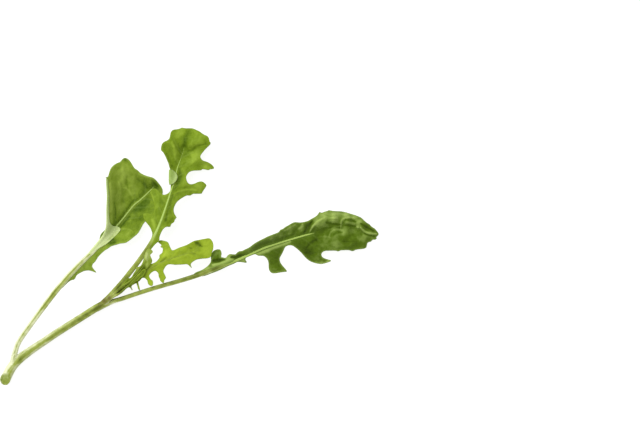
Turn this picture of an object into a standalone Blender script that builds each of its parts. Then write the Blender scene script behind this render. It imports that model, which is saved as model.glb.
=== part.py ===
# A sprig of wild arugula lying on a table: a cut stem with four lobed leaves and two leaflets.
# Plan positions and heights are in millimetres, x to the right, y away from the viewer, z up.
# The origin is on the table under the middle of the sprig, which is about 144 mm long.

import math

import bmesh
import bpy
import numpy as np
from mathutils import Vector
from mathutils.geometry import delaunay_2d_cdt

MM = 0.001
BLADE_THICKNESS = 0.6
NODE_GAP = 0.3
# Inside a blade there is a point this often, and none nearer than this to its margin.
INNER_POINT_SPACING = 2.4
INNER_POINT_MARGIN = 0.8
# Straight steps between two listed points of a stalk or a fold, and round the half turn of a roll.
STALK_STEPS = 2
FOLD_STEPS = 2
ROLL_STEPS = 3
TABLE_CUT_DEPTH = 5.0
TABLE_CUT_SIDE = 200.0
KNIFE_CUT_SIDE = 12.0

# Colours are linear. The stem is the palest, and the youngest leaves are the brightest.
COLOURS = {
    "stem": (0.42, 0.50, 0.16, 1.0),
    "leaf_lower": (0.17, 0.25, 0.03, 1.0),
    "leaf_upper": (0.21, 0.33, 0.03, 1.0),
    "leaf_right": (0.12, 0.20, 0.03, 1.0),
    "leaf_young": (0.26, 0.38, 0.04, 1.0),
    "leaflet_long": (0.32, 0.44, 0.10, 1.0),
    "leaflet_short": (0.18, 0.27, 0.03, 1.0),
}
STEM_ROUGHNESS = 0.45
LEAF_ROUGHNESS = 0.5

# Stem: centreline x, y, height and radius, from the cut end to the fork.
STEM_LINE = [
    (-70.6, -48.1, 1.92, 2.05), (-69.2, -45.2, 1.85, 1.95), (-67.7, -42.4, 1.75, 1.88),
    (-65.9, -40.1, 1.70, 1.85), (-63.0, -37.8, 1.85, 1.70), (-59.0, -35.1, 2.10, 1.50),
    (-54.0, -31.7, 2.40, 1.42), (-50.0, -29.0, 2.65, 1.40), (-42.0, -24.0, 2.95, 1.35),
    (-36.0, -20.2, 3.05, 1.40), (-32.8, -18.2, 3.10, 1.35),
]
# The knife went through the stem at a slant, so the cut face looks up and away from the leaves.
CUT_FACE_POINT = (-70.25, -47.6, 1.9)
CUT_FACE_NORMAL = (-0.55, -0.80, 0.45)

# Stubs of the leaf stalks, which grow out of the stem. Each stalk goes on from its stub's end.
STUB_LINES = {
    "leaf_lower": [(-66.9, -41.2, 2.0, 1.25), (-66.6, -38.6, 2.5, 1.15), (-66.1, -36.2, 3.0, 1.0)],
    "leaf_upper": [(-34.4, -19.2, 3.1, 1.15), (-30.6, -15.6, 3.5, 1.12), (-27.5, -12.2, 3.9, 1.05)],
    "leaf_right": [(-35.0, -20.0, 2.8, 1.0), (-31.6, -18.2, 2.9, 1.0), (-28.6, -16.9, 3.0, 0.9)],
    "leaf_young": [(-33.4, -18.3, 3.7, 0.8), (-29.6, -15.5, 4.3, 0.7), (-26.4, -13.2, 4.6, 0.62)],
    "leaflet_long": [(-32.5, -17.8, 3.7, 0.8), (-29.8, -15.1, 5.2, 0.6), (-27.2, -13.0, 5.95, 0.42)],
    "leaflet_short": [(-32.0, -17.6, 3.6, 0.8), (-28.8, -15.3, 5.3, 0.55), (-26.1, -13.8, 6.05, 0.40)],
}

# Each stalk and midrib: x, y, height and radius, from just past its stub to its last visible point.
LOWER_STALK = [
    (-64.4, -32.1, 3.7, 0.95), (-58.6, -24.7, 5.1, 0.92), (-51.8, -15.0, 6.7, 0.90),
    (-48.0, -9.9, 7.1, 0.88), (-45.0, -6.5, 7.0, 0.86), (-40.0, -1.5, 6.3, 0.86),
    (-37.0, 1.3, 5.6, 0.86), (-35.0, 3.5, 4.9, 0.85), (-32.5, 6.1, 3.9, 0.82),
    (-30.0, 8.9, 2.9, 0.75), (-27.0, 12.3, 1.7, 0.62), (-25.0, 14.7, 1.05, 0.54),
    (-23.0, 17.2, 0.6, 0.50), (-21.0, 19.6, 0.42, 0.48), (-19.0, 21.2, 0.55, 0.46),
    (-17.0, 23.0, 1.0, 0.44), (-15.0, 24.9, 1.8, 0.40), (-13.3, 26.6, 2.8, 0.32),
]
# The left margin and base of the lower leaf roll up and over the midrib along this line: x, y, radius.
LOWER_FOLD = [
    (-30.3, 29.6, 0.7), (-30.1, 27.0, 0.75), (-29.8, 23.0, 0.8), (-29.9, 18.0, 0.8),
    (-30.3, 15.0, 0.8), (-30.5, 12.0, 0.8), (-31.1, 9.6, 0.8), (-32.4, 7.3, 0.75),
    (-34.3, 5.0, 0.6), (-36.6, 2.5, 0.45),
]
# The rolled flap's edge as it lies over the blade, from the base to the top.
LOWER_FLAP = [
    (-36.2, 1.7), (-33.6, 3.5), (-31.6, 4.6), (-30.0, 5.9), (-28.4, 7.4), (-27.0, 8.8),
    (-26.1, 10.1), (-26.4, 10.9), (-27.5, 11.5), (-28.8, 11.6), (-29.5, 12.6), (-29.7, 15.0),
    (-29.2, 18.0), (-29.0, 23.0), (-29.2, 27.0), (-29.5, 29.4),
]
LOWER_MARGIN = [
    (-50.5, -13.4), (-48.0, -11.9), (-46.0, -9.9), (-44.6, -8.9), (-43.3, -8.5), (-42.5, -7.0),
    (-41.0, -6.0), (-39.7, -5.4), (-38.2, -5.2), (-36.8, -5.5), (-35.1, -6.1), (-36.1, -4.8),
    (-36.7, -3.8), (-36.5, -2.8), (-35.5, -1.8), (-34.5, -0.2), (-33.2, 1.2), (-31.8, 2.4),
    (-30.4, 3.3), (-29.5, 3.95), (-28.0, 4.4), (-26.0, 5.0), (-24.3, 5.2), (-22.9, 5.9),
    (-21.0, 7.4), (-19.3, 8.9), (-18.3, 10.6), (-17.4, 12.3), (-16.4, 13.9), (-15.0, 15.4),
    (-13.6, 17.0), (-12.4, 19.0), (-11.2, 21.2), (-10.2, 23.4), (-10.1, 25.2), (-10.7, 26.6),
    (-11.7, 27.9), (-12.6, 29.0), (-13.6, 29.8), (-15.0, 30.2), (-16.8, 30.8), (-18.3, 31.6),
    (-19.3, 32.6), (-20.4, 33.3), (-21.1, 34.4), (-21.9, 35.8), (-22.9, 36.9), (-24.1, 37.3),
    (-25.0, 36.8), (-25.8, 35.8), (-27.0, 35.3), (-28.2, 34.5), (-29.2, 33.3), (-29.8, 31.7),
    (-30.1, 30.3),
]
LOWER_HEIGHTS = [
    (-49.0, -12.4, 6.6), (-43.3, -8.5, 5.8), (-40.0, -5.3, 5.0), (-35.2, -6.0, 3.4),
    (-36.5, -3.0, 4.6), (-34.0, 0.5, 4.2), (-30.0, 3.8, 4.2), (-26.0, 5.1, 5.4),
    (-22.0, 6.8, 6.2), (-19.0, 9.2, 5.8), (-17.2, 12.8, 4.6), (-14.0, 16.4, 3.6),
    (-12.0, 20.0, 3.3), (-10.2, 24.0, 3.4), (-11.5, 27.6, 4.6), (-15.0, 30.2, 6.6),
    (-20.0, 33.0, 8.2), (-24.0, 37.2, 9.4), (-28.5, 34.2, 10.6), (-30.2, 29.0, 11.0),
    (-29.8, 23.0, 10.2), (-30.2, 17.0, 9.0), (-30.6, 12.0, 7.2), (-26.0, 25.0, 4.7),
    (-27.0, 30.0, 7.4), (-22.0, 30.0, 5.2), (-18.0, 27.0, 3.0), (-20.0, 14.0, 1.8),
    (-24.0, 9.5, 2.9), (-28.0, 16.0, 4.2), (-27.6, 21.0, 5.0), (-31.6, 9.2, 5.4),
]
LOWER_INSIDE = (-22.0, 20.0)
# A small side lobe stands behind the rolled base.
LOWER_SIDE_LOBE = [
    (-35.2, 4.2), (-34.4, 5.2), (-34.0, 6.4), (-33.8, 7.7), (-33.4, 8.6), (-32.5, 9.6),
    (-31.6, 10.2), (-30.4, 10.2), (-30.4, 8.6), (-32.4, 5.8), (-34.0, 4.2),
]
LOWER_SIDE_LOBE_HEIGHTS = [(-34.6, 4.5, 4.5), (-31.0, 8.6, 2.9), (-34.0, 7.4, 2.2), (-31.2, 10.3, 1.4)]

UPPER_STALK = [
    (-25.0, -9.3, 4.4, 1.0), (-22.0, -5.6, 5.4, 0.97), (-20.0, -3.1, 6.1, 0.94),
    (-17.3, 0.6, 7.1, 0.92), (-14.9, 4.2, 7.9, 0.88), (-13.0, 7.8, 8.6, 0.85),
    (-11.5, 11.0, 9.2, 0.78), (-10.2, 14.2, 9.6, 0.70), (-9.2, 17.0, 9.7, 0.62),
    (-8.0, 20.6, 9.6, 0.55), (-7.1, 23.5, 9.3, 0.50), (-6.4, 25.6, 8.9, 0.46),
    (-5.5, 28.2, 8.2, 0.43), (-5.0, 30.5, 7.5, 0.41), (-4.5, 33.0, 6.7, 0.40),
    (-3.7, 35.4, 5.8, 0.38), (-2.8, 38.0, 4.9, 0.36), (-2.0, 41.0, 4.3, 0.32),
]
# One side lobe of the upper leaf is folded over on this line: x, y, radius.
UPPER_FOLD = [(-6.6, 26.4, 0.6), (-6.8, 28.6, 0.7), (-6.8, 31.0, 0.7), (-6.7, 33.4, 0.6)]
UPPER_INSIDE = (-3.0, 30.0)
UPPER_LEFT_MARGIN = [
    (-14.6, 5.6), (-13.7, 8.2), (-14.0, 9.9), (-14.7, 11.3), (-15.7, 12.6), (-16.6, 13.7),
    (-17.1, 14.9), (-17.3, 16.2), (-16.2, 16.4), (-15.1, 16.4), (-14.1, 15.9), (-13.1, 15.6),
    (-12.8, 17.0), (-12.9, 18.8), (-13.3, 20.8), (-14.0, 22.6), (-14.6, 24.2), (-14.1, 25.4),
    (-13.0, 25.8), (-12.0, 25.4), (-11.0, 24.5), (-10.0, 23.6), (-9.0, 23.4), (-8.0, 23.8),
    (-7.2, 24.5), (-6.8, 25.4),
]
UPPER_FLAP = [
    (-5.9, 33.0), (-5.1, 32.4), (-4.5, 31.3), (-4.1, 30.0), (-4.4, 28.9), (-5.1, 27.9),
    (-5.9, 27.0),
]
UPPER_TOP_MARGIN = [
    (-7.35, 34.2), (-7.5, 35.0), (-8.0, 36.2), (-8.8, 38.0), (-9.6, 39.4), (-10.4, 40.2),
    (-10.4, 41.4), (-10.1, 42.6), (-9.3, 43.4), (-8.2, 43.9), (-7.4, 44.7), (-7.1, 46.0),
    (-6.8, 47.3), (-6.0, 48.0), (-4.6, 48.2), (-3.5, 48.5), (-2.7, 48.85), (-1.5, 48.6),
    (0.0, 48.6), (1.5, 48.5), (2.8, 47.9), (4.0, 47.4), (5.0, 46.6), (6.0, 46.0),
    (7.0, 45.6), (7.6, 44.7), (7.8, 43.7), (8.3, 42.9), (7.7, 42.1), (6.7, 41.2),
    (5.7, 40.1), (4.8, 39.0), (4.3, 38.0), (4.6, 37.1), (5.3, 36.4), (6.5, 36.0),
    (8.0, 35.3), (9.0, 34.4), (9.4, 33.6), (8.8, 33.2), (8.0, 33.2), (7.2, 32.8),
    (6.0, 33.0), (5.0, 33.15), (4.4, 32.7), (3.0, 32.6), (1.5, 32.5), (0.3, 32.1),
    (-0.5, 31.3), (-1.0, 30.2), (-0.9, 29.0), (-0.5, 28.1), (0.2, 27.5), (1.0, 27.4),
    (2.2, 27.7), (3.4, 28.3), (4.5, 28.5), (5.4, 28.2), (6.5, 27.1), (6.1, 26.2),
    (5.5, 25.3), (5.0, 24.5), (4.6, 23.9), (3.0, 23.8), (1.5, 23.8), (0.9, 23.4),
    (0.3, 23.1), (-0.6, 23.2), (-2.0, 22.6), (-3.5, 21.6), (-4.7, 20.4), (-5.4, 19.1),
    (-5.7, 17.7), (-5.4, 16.2), (-4.6, 14.8), (-5.2, 14.1), (-5.6, 13.0), (-6.6, 12.3),
    (-7.0, 11.3), (-8.4, 11.3), (-9.6, 10.4), (-10.4, 9.0), (-11.0, 7.4), (-11.1, 6.1),
    (-12.2, 5.1), (-13.2, 4.1), (-14.8, 2.4),
]
UPPER_HEIGHTS = [
    (-17.1, 16.0, 7.4), (-15.0, 12.0, 8.0), (-14.4, 24.4, 7.2), (-13.0, 20.0, 8.2),
    (-12.0, 25.3, 7.6), (-9.5, 23.5, 8.6), (-13.8, 9.0, 8.4), (-7.2, 28.0, 8.8),
    (-7.4, 31.0, 8.8), (-7.4, 34.0, 8.2), (-8.6, 37.6, 8.4), (-10.4, 41.0, 8.8),
    (-8.8, 43.6, 7.6), (-7.0, 46.5, 5.6), (-4.5, 48.2, 3.8), (-1.0, 48.7, 3.0),
    (3.0, 47.7, 4.6), (6.5, 45.8, 6.2), (8.2, 42.8, 5.8), (4.4, 38.0, 5.2),
    (7.0, 35.8, 3.2), (9.3, 33.6, 1.4), (5.0, 33.0, 3.2), (0.5, 32.2, 5.6),
    (-1.0, 30.0, 6.8), (2.0, 27.6, 5.6), (5.0, 28.3, 3.8), (6.3, 27.0, 3.0),
    (4.8, 24.2, 3.4), (0.3, 23.2, 5.6), (-3.5, 21.7, 7.4), (-5.6, 18.0, 8.7),
    (-4.7, 14.9, 8.2), (-7.0, 11.3, 8.8), (-10.4, 9.0, 9.2), (-11.1, 6.6, 8.7),
    (-6.0, 44.0, 6.6), (-4.6, 41.0, 5.9), (1.0, 42.6, 6.2), (4.2, 43.2, 6.4),
    (1.5, 39.4, 4.2), (4.2, 40.4, 4.6), (2.0, 36.6, 5.5), (-1.0, 36.0, 5.2),
]
RIGHT_STALK = [
    (-25.0, -15.8, 3.3, 0.88), (-20.0, -14.1, 3.6, 0.86), (-15.0, -12.5, 4.0, 0.86),
    (-10.0, -11.0, 4.3, 0.86), (-5.0, -9.6, 4.6, 0.87), (0.0, -8.1, 4.9, 0.90),
    (5.0, -6.3, 5.3, 0.95), (10.0, -4.1, 5.6, 0.98), (15.0, -2.1, 6.0, 0.94),
    (20.0, 0.1, 6.4, 0.82), (25.0, 2.1, 6.8, 0.74), (30.0, 3.9, 7.2, 0.68),
    (35.0, 5.5, 7.4, 0.62), (40.0, 7.0, 7.5, 0.54), (45.0, 8.4, 7.3, 0.46),
    (48.0, 9.0, 7.0, 0.42), (52.0, 9.8, 6.5, 0.40), (57.0, 10.4, 5.6, 0.37),
    (62.0, 10.2, 4.5, 0.33), (66.0, 9.5, 3.3, 0.30),
]
RIGHT_MARGIN = [
    (2.0, -6.4), (5.0, -5.0), (6.2, -4.2), (7.2, -3.4), (8.0, -2.5), (8.4, -1.4),
    (8.3, -0.5), (8.4, 0.5), (8.7, 1.5), (9.3, 2.2), (10.1, 2.6), (11.0, 2.8),
    (11.8, 2.6), (12.2, 1.8), (12.3, 0.8), (12.1, -0.1), (12.8, -0.3), (13.8, -0.5),
    (14.4, 0.1), (15.0, 0.8), (15.7, 1.0), (17.6, 0.8), (18.2, 1.4), (19.0, 2.0),
    (20.1, 2.1), (21.3, 2.7), (23.0, 3.5), (24.3, 4.5), (26.0, 5.6), (28.0, 6.6),
    (30.0, 7.6), (32.0, 8.4), (34.0, 9.2), (34.7, 10.1), (35.6, 10.4), (36.6, 11.2),
    (38.0, 12.0), (39.0, 12.6), (40.2, 13.0), (42.0, 12.9), (43.6, 13.1), (45.0, 13.5),
    (46.5, 14.4), (48.0, 15.2), (48.8, 16.0), (49.4, 16.9), (50.1, 16.5), (51.2, 16.9),
    (52.3, 17.2), (53.0, 17.5), (54.5, 17.2), (57.0, 17.1), (59.0, 16.8), (61.0, 16.2),
    (63.0, 15.6), (65.0, 14.8), (66.0, 13.9), (67.0, 13.0), (68.3, 12.2), (69.0, 11.4),
    (70.2, 10.7), (71.2, 9.7), (71.8, 8.8), (71.6, 8.0), (70.9, 7.5), (71.2, 6.8),
    (70.4, 6.4), (69.4, 6.4), (68.9, 5.7), (67.9, 5.5), (67.4, 5.0), (67.3, 4.2),
    (67.0, 3.4), (66.0, 3.0), (64.0, 2.8), (62.8, 2.5), (61.9, 2.1), (60.5, 2.5),
    (58.5, 2.5), (57.2, 2.4), (56.6, 2.0), (55.5, 2.3), (53.0, 2.3), (51.5, 2.2),
    (50.6, 1.8), (50.1, 1.0), (50.3, 0.0), (51.0, -0.6), (52.0, -1.0), (53.9, -1.5),
    (53.0, -2.0), (51.5, -2.5), (50.0, -2.8), (48.0, -2.5), (46.0, -1.8), (44.8, -1.0),
    (43.8, 0.0), (42.7, 1.3), (41.5, 2.5), (40.3, 3.5), (39.3, 4.2), (38.3, 4.4),
    (37.3, 4.2), (36.4, 3.7), (36.0, 2.8), (35.4, 1.5), (34.8, 0.5), (34.3, -0.6),
    (34.4, -1.8), (34.9, -2.9), (36.0, -4.2), (37.1, -5.6), (36.0, -5.8), (34.0, -6.1),
    (32.5, -6.4), (31.2, -6.2), (30.4, -5.3), (30.1, -4.0), (30.1, -2.5), (29.8, -1.3),
    (29.2, -0.4), (28.3, 0.3), (27.2, 0.4), (26.0, 0.5), (25.0, 1.0), (23.0, 0.3),
    (21.4, -0.5), (21.5, -1.5), (21.9, -2.3), (20.5, -2.1), (18.9, -1.9), (17.8, -2.1),
    (17.0, -2.6), (15.0, -3.3), (12.0, -4.6), (9.0, -5.6), (5.0, -6.8),
]
RIGHT_HEIGHTS = [
    (6.5, -4.0, 5.8), (8.3, -1.0, 6.4), (8.8, 1.6, 5.4), (11.0, 2.8, 5.0), (12.2, 1.0, 5.4),
    (13.8, -0.4, 6.6), (15.6, 1.0, 8.2), (18.2, 1.4, 8.2), (20.0, 2.1, 8.6), (24.0, 4.3, 10.4),
    (28.0, 6.6, 11.6), (32.0, 8.4, 12.2), (36.0, 10.9, 12.6), (40.0, 13.0, 11.8),
    (44.0, 13.2, 11.4), (48.0, 15.2, 10.6), (50.0, 16.6, 8.8), (53.0, 17.4, 7.0),
    (57.0, 17.0, 6.0), (61.0, 16.2, 5.4), (65.0, 14.8, 4.6), (68.3, 12.2, 3.2),
    (71.0, 9.7, 1.8), (71.0, 7.0, 0.2), (68.9, 5.7, 0.9), (67.0, 3.4, 1.7),
    (62.0, 2.2, 3.2), (57.0, 2.2, 3.6), (52.0, 2.2, 3.5), (50.1, 1.0, 2.9),
    (53.8, -1.5, 0.9), (50.0, -2.8, 0.4), (46.0, -1.8, 1.1), (43.0, 1.0, 3.5),
    (40.3, 3.5, 5.6), (38.3, 4.4, 6.4), (36.2, 3.5, 5.6), (34.4, -0.8, 2.9),
    (37.0, -5.6, 0.6), (33.0, -6.3, 0.05), (30.5, -5.0, 0.9), (30.0, -2.0, 2.9),
    (28.5, 0.2, 5.0), (25.5, 0.9, 6.3), (21.7, -1.5, 4.6), (18.0, -2.0, 5.3),
    (13.0, -4.2, 5.4), (8.0, -6.0, 5.2), (50.0, 13.6, 11.2), (55.0, 14.6, 10.2),
    (60.0, 13.8, 8.2), (54.0, 11.5, 7.2), (60.0, 9.8, 6.4), (56.0, 9.3, 7.1),
    (56.0, 6.0, 6.0), (62.0, 6.5, 5.2), (47.0, 6.0, 6.3), (46.0, 3.0, 4.8),
    (42.0, 10.5, 9.2), (35.0, 8.0, 9.5), (28.0, 4.8, 8.4), (66.0, 11.8, 5.4), (67.0, 7.0, 2.9),
]
YOUNG_STALK = [
    (-24.0, -11.4, 5.0, 0.60), (-22.0, -9.9, 5.4, 0.58), (-19.5, -7.9, 5.9, 0.55),
    (-17.0, -6.0, 6.6, 0.52), (-14.0, -4.0, 7.4, 0.48), (-11.0, -2.4, 8.1, 0.45),
    (-8.0, -1.2, 8.7, 0.42), (-4.0, 0.2, 9.1, 0.39), (0.0, 1.4, 9.1, 0.36),
    (4.0, 2.4, 8.7, 0.32),
]
YOUNG_MARGIN = [
    (-23.6, -11.6), (-22.6, -11.8), (-21.4, -12.8), (-21.7, -11.3), (-20.5, -10.3),
    (-19.9, -10.1), (-19.0, -12.7), (-18.3, -12.5), (-19.1, -9.8), (-18.6, -9.1),
    (-17.7, -8.1), (-16.8, -8.0), (-15.8, -8.9), (-15.4, -10.3), (-14.6, -11.0), (-13.7, -11.0),
    (-13.6, -9.2), (-14.3, -8.7), (-15.0, -7.6), (-14.9, -6.9), (-14.0, -5.9), (-12.9, -5.3),
    (-12.1, -5.6), (-11.5, -6.4), (-11.4, -7.5), (-11.0, -8.4), (-10.8, -9.1), (-9.6, -10.1),
    (-9.2, -8.7), (-8.6, -8.0), (-9.0, -7.0), (-9.6, -5.6), (-9.3, -4.6), (-8.5, -3.4),
    (-7.3, -2.8), (-5.1, -3.0), (-2.5, -2.9), (-0.6, -2.8), (0.2, -3.4), (1.2, -4.3),
    (0.7, -2.8), (1.8, -1.7), (3.2, -1.0), (5.2, -0.7), (6.9, -0.6), (8.2, -0.1), (8.7, 1.5),
    (9.2, 3.0), (9.3, 4.7), (8.8, 6.1), (7.8, 7.0), (6.2, 6.8), (4.6, 6.5), (1.9, 5.9),
    (0.4, 5.1), (-1.0, 4.4), (-3.7, 3.4), (-6.0, 2.4), (-6.7, 3.1), (-7.3, 4.2), (-7.9, 5.5),
    (-9.4, 6.0), (-10.9, 6.2), (-11.6, 5.4), (-10.7, 4.8), (-10.3, 4.0), (-10.9, 3.7),
    (-9.8, 3.2), (-10.0, 1.5), (-11.1, 0.6), (-11.0, -0.3), (-12.1, -1.7), (-13.3, -2.4),
    (-15.0, -3.0), (-16.6, -4.0), (-18.0, -5.2), (-19.6, -6.4), (-21.6, -8.2), (-23.4, -10.4),
]
YOUNG_HEIGHTS = [
    (-6.0, 2.4, 8.9), (-1.0, 4.4, 9.6), (4.6, 6.5, 9.6), (7.7, 7.0, 8.6), (9.2, 4.5, 7.9),
    (9.2, 3.0, 7.7), (8.2, 0.0, 7.6), (3.2, -1.0, 8.2), (0.2, -3.2, 7.4), (1.2, -4.2, 6.6),
    (-5.0, -3.0, 8.0), (-8.5, -3.4, 7.7), (-9.4, -5.0, 7.3), (-8.7, -8.0, 6.7),
    (-9.6, -10.0, 6.3), (-11.4, -7.5, 6.7), (-13.0, -5.4, 6.9), (-15.0, -7.2, 6.5),
    (-13.8, -11.0, 5.9), (-15.8, -9.0, 6.1), (-17.7, -8.1, 6.0), (-18.6, -12.6, 5.0),
    (-20.2, -10.1, 5.3), (-21.6, -12.7, 4.8), (-23.0, -11.6, 5.1), (-10.0, 1.5, 8.0),
    (-9.0, 3.2, 7.6), (-8.0, 5.4, 7.0), (-11.2, 5.6, 6.4), (-13.2, -2.3, 7.7),
    (-18.0, -5.2, 6.4), (-22.5, -9.2, 5.4), (3.0, 4.6, 8.8), (5.5, 2.4, 8.6),
]
LONG_BUD_STALK = [
    (-25.3, -11.0, 6.55, 0.42), (-23.0, -8.9, 7.1, 0.42), (-20.5, -6.4, 8.0, 0.40),
    (-18.0, -3.4, 8.9, 0.38), (-16.2, -0.6, 9.5, 0.35), (-14.9, 2.0, 9.9, 0.30),
]
LONG_BUD_MARGIN = [
    (-22.6, -9.2), (-20.6, -7.5), (-18.6, -5.5), (-16.9, -3.9), (-15.6, -2.5), (-14.9, -1.3),
    (-14.6, -0.2), (-14.2, 1.2), (-13.8, 2.2), (-14.2, 2.9), (-14.9, 3.2), (-15.8, 2.3),
    (-16.6, 0.9), (-16.9, -0.5), (-17.7, -2.0), (-18.7, -3.4), (-20.3, -5.3), (-22.2, -7.6),
]
LONG_BUD_HEIGHTS = [(-15.2, -2.0, 8.9), (-14.0, 2.0, 9.5), (-16.8, 0.4, 10.1), (-18.9, -3.6, 9.6)]

SHORT_BUD_STALK = [
    (-24.6, -12.5, 6.4, 0.40), (-22.6, -10.7, 6.9, 0.40), (-20.4, -8.8, 7.4, 0.38),
    (-18.6, -7.2, 7.9, 0.34), (-17.2, -5.8, 8.3, 0.28),
]
SHORT_BUD_MARGIN = [
    (-22.4, -10.9), (-21.0, -10.3), (-20.2, -9.4), (-19.2, -9.0), (-18.4, -8.0), (-17.4, -7.6),
    (-16.8, -6.6), (-16.2, -5.4), (-16.4, -4.6), (-17.4, -4.9), (-18.2, -5.8), (-19.4, -6.9),
    (-20.6, -8.2), (-22.0, -9.7),
]
SHORT_BUD_HEIGHTS = [(-17.2, -7.2, 7.9), (-16.3, -5.0, 8.6), (-18.6, -6.2, 8.5), (-20.4, -9.7, 7.1)]


def clear_scene():
    for old in list(bpy.data.objects):
        bpy.data.objects.remove(old, do_unlink=True)


def new_collection(name):
    made = bpy.data.collections.new(name)
    bpy.context.scene.collection.children.link(made)
    return made


def new_material(name, roughness):
    made = bpy.data.materials.new(name + "_tissue")
    made.use_nodes = True
    shader = made.node_tree.nodes["Principled BSDF"]
    shader.inputs["Base Color"].default_value = COLOURS[name]
    shader.inputs["Roughness"].default_value = roughness
    shader.inputs["Metallic"].default_value = 0.0
    return made


def smooth_line(points, steps):
    # A curve through every point, with this many straight steps between neighbours.
    rows = [np.array(point, float) for point in points]
    rows = [2 * rows[0] - rows[1]] + rows + [2 * rows[-1] - rows[-2]]
    line = []
    for before, start, end, after in zip(rows, rows[1:], rows[2:], rows[3:]):
        for step in range(steps):
            t = step / steps
            line.append(
                0.5 * (2 * start + (end - before) * t
                       + (2 * before - 5 * start + 4 * end - after) * t * t
                       + (3 * start - before - 3 * end + after) * t ** 3)
            )
    line.append(rows[-2])
    return np.array(line)


class Fold:
    # A line in plan on which a flap of the blade rolls up and comes back over the blade.
    # Its points are x, y and the radius of the roll there, and the flap's edge is given as seen from above.
    def __init__(self, points, flap_edge, blade_inside):
        rows = smooth_line(points, FOLD_STEPS)
        self.line = rows[:, :2]
        self.radii = rows[:, 2]
        self.flap_edge = flap_edge
        ahead = np.gradient(self.line, axis=0)
        ahead /= np.linalg.norm(ahead, axis=1)[:, None]
        self.out = np.stack([-ahead[:, 1], ahead[:, 0]], axis=1)
        middle = len(rows) // 2
        if self.out[middle] @ (np.array(blade_inside) - self.line[middle]) > 0:
            self.out = -self.out

    def roll_rows(self, surface):
        # Rows of points round the half turn, from the blade below to the flap above.
        base = surface.at(self.line)
        for angle in np.linspace(0, math.pi, ROLL_STEPS + 1):
            plan = self.line + self.out * (self.radii * math.sin(angle))[:, None]
            yield np.column_stack([plan, base + self.radii * (1 - math.cos(angle))])

    def flap_lift(self, points):
        # The flap lies one whole roll above the blade, by the radius at the nearest point of the fold.
        nearest = ((points[:, None] - self.line[None]) ** 2).sum(2).argmin(1)
        return 2 * self.radii[nearest]


class HeightSurface:
    # A smooth thin-plate surface through scattered heights, each (x, y, height).
    SMOOTHING = 0.02

    def __init__(self, heights):
        rows = np.array(heights, float)
        self.places = rows[:, :2]
        count = len(rows)
        flat = np.hstack([np.ones((count, 1)), self.places])
        system = np.zeros((count + 3, count + 3))
        system[:count, :count] = self.bend(self.places) + self.SMOOTHING * np.eye(count)
        system[:count, count:] = flat
        system[count:, :count] = flat.T
        self.weights = np.linalg.solve(system, np.concatenate([rows[:, 2], np.zeros(3)]))

    def bend(self, points):
        squared = ((points[:, None] - self.places[None]) ** 2).sum(2)
        return 0.5 * squared * np.log(squared + 1e-12)

    def at(self, points):
        points = np.atleast_2d(points)
        flat = np.hstack([np.ones((len(points), 1)), points])
        return self.bend(points) @ self.weights[:-3] + flat @ self.weights[-3:]


def inside(point, margin):
    x, y = point
    hit = False
    for (x0, y0), (x1, y1) in zip(margin, margin[1:] + margin[:1]):
        if (y0 > y) != (y1 > y) and x < x0 + (x1 - x0) * (y - y0) / (y1 - y0):
            hit = not hit
    return hit


def distance_to_margin(point, margin):
    starts = np.array(margin)
    along = np.roll(starts, -1, axis=0) - starts
    share = np.clip(((point - starts) * along).sum(1) / (along ** 2).sum(1), 0, 1)
    return float(np.sqrt(((point - starts - along * share[:, None]) ** 2).sum(1)).min())


def inner_points(margin):
    # Staggered rows of points inside the margin, which let the blade bend.
    rows = np.array(margin)
    (x_low, y_low), (x_high, y_high) = rows.min(0), rows.max(0)
    found = []
    row_step = INNER_POINT_SPACING * math.sqrt(3) / 2
    for row in range(int((y_high - y_low) / row_step) + 1):
        shift = INNER_POINT_SPACING / 2 * (row % 2)
        for column in range(int((x_high - x_low) / INNER_POINT_SPACING) + 1):
            point = (x_low + shift + column * INNER_POINT_SPACING, y_low + row * row_step)
            if inside(point, margin) and distance_to_margin(np.array(point), margin) > INNER_POINT_MARGIN:
                found.append(point)
    return found


def fill_outline(mesh, outline, height_at):
    # Fills the outline with triangles, evenly enough to bend, and raises each point.
    outline = [tuple(point) for point in outline]
    points = [Vector(point) for point in outline + inner_points(outline)]
    flat, _, triangles, *_ = delaunay_2d_cdt(points, [], [list(range(len(outline)))], 1, 1e-6)
    plan = np.array([tuple(point) for point in flat])
    corners = [mesh.verts.new((x, y, z)) for (x, y), z in zip(plan, height_at(plan))]
    for triangle in triangles:
        mesh.faces.new([corners[index] for index in triangle])


def fill_roll(mesh, rows):
    # Joins neighbouring rows of points with pairs of triangles.
    rows = [[mesh.verts.new(tuple(point)) for point in row] for row in rows]
    for low, high in zip(rows, rows[1:]):
        for a, b, c, d in zip(low, low[1:], high[1:], high):
            mesh.faces.new([a, b, c])
            mesh.faces.new([a, c, d])


def sheet_object(name, margin, surface, fold=None):
    # A thin waved sheet, thickened to the same distance on both sides.
    mesh = bmesh.new()
    if fold:
        fill_outline(mesh, margin + list(fold.line), surface.at)
        fill_roll(mesh, fold.roll_rows(surface))
        flap = list(fold.line) + fold.flap_edge
        fill_outline(mesh, flap, lambda plan: surface.at(plan) + fold.flap_lift(plan))
    else:
        fill_outline(mesh, margin, surface.at)
    bmesh.ops.remove_doubles(mesh, verts=mesh.verts, dist=1e-4)
    bmesh.ops.recalc_face_normals(mesh, faces=mesh.faces)
    bmesh.ops.scale(mesh, verts=mesh.verts, vec=(MM, MM, MM))
    data = bpy.data.meshes.new(name)
    mesh.to_mesh(data)
    mesh.free()
    made = bpy.data.objects.new(name, data)
    bpy.context.scene.collection.objects.link(made)
    thick = made.modifiers.new("thickness", "SOLIDIFY")
    thick.thickness = BLADE_THICKNESS * MM
    thick.offset = 0.0
    return made


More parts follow.
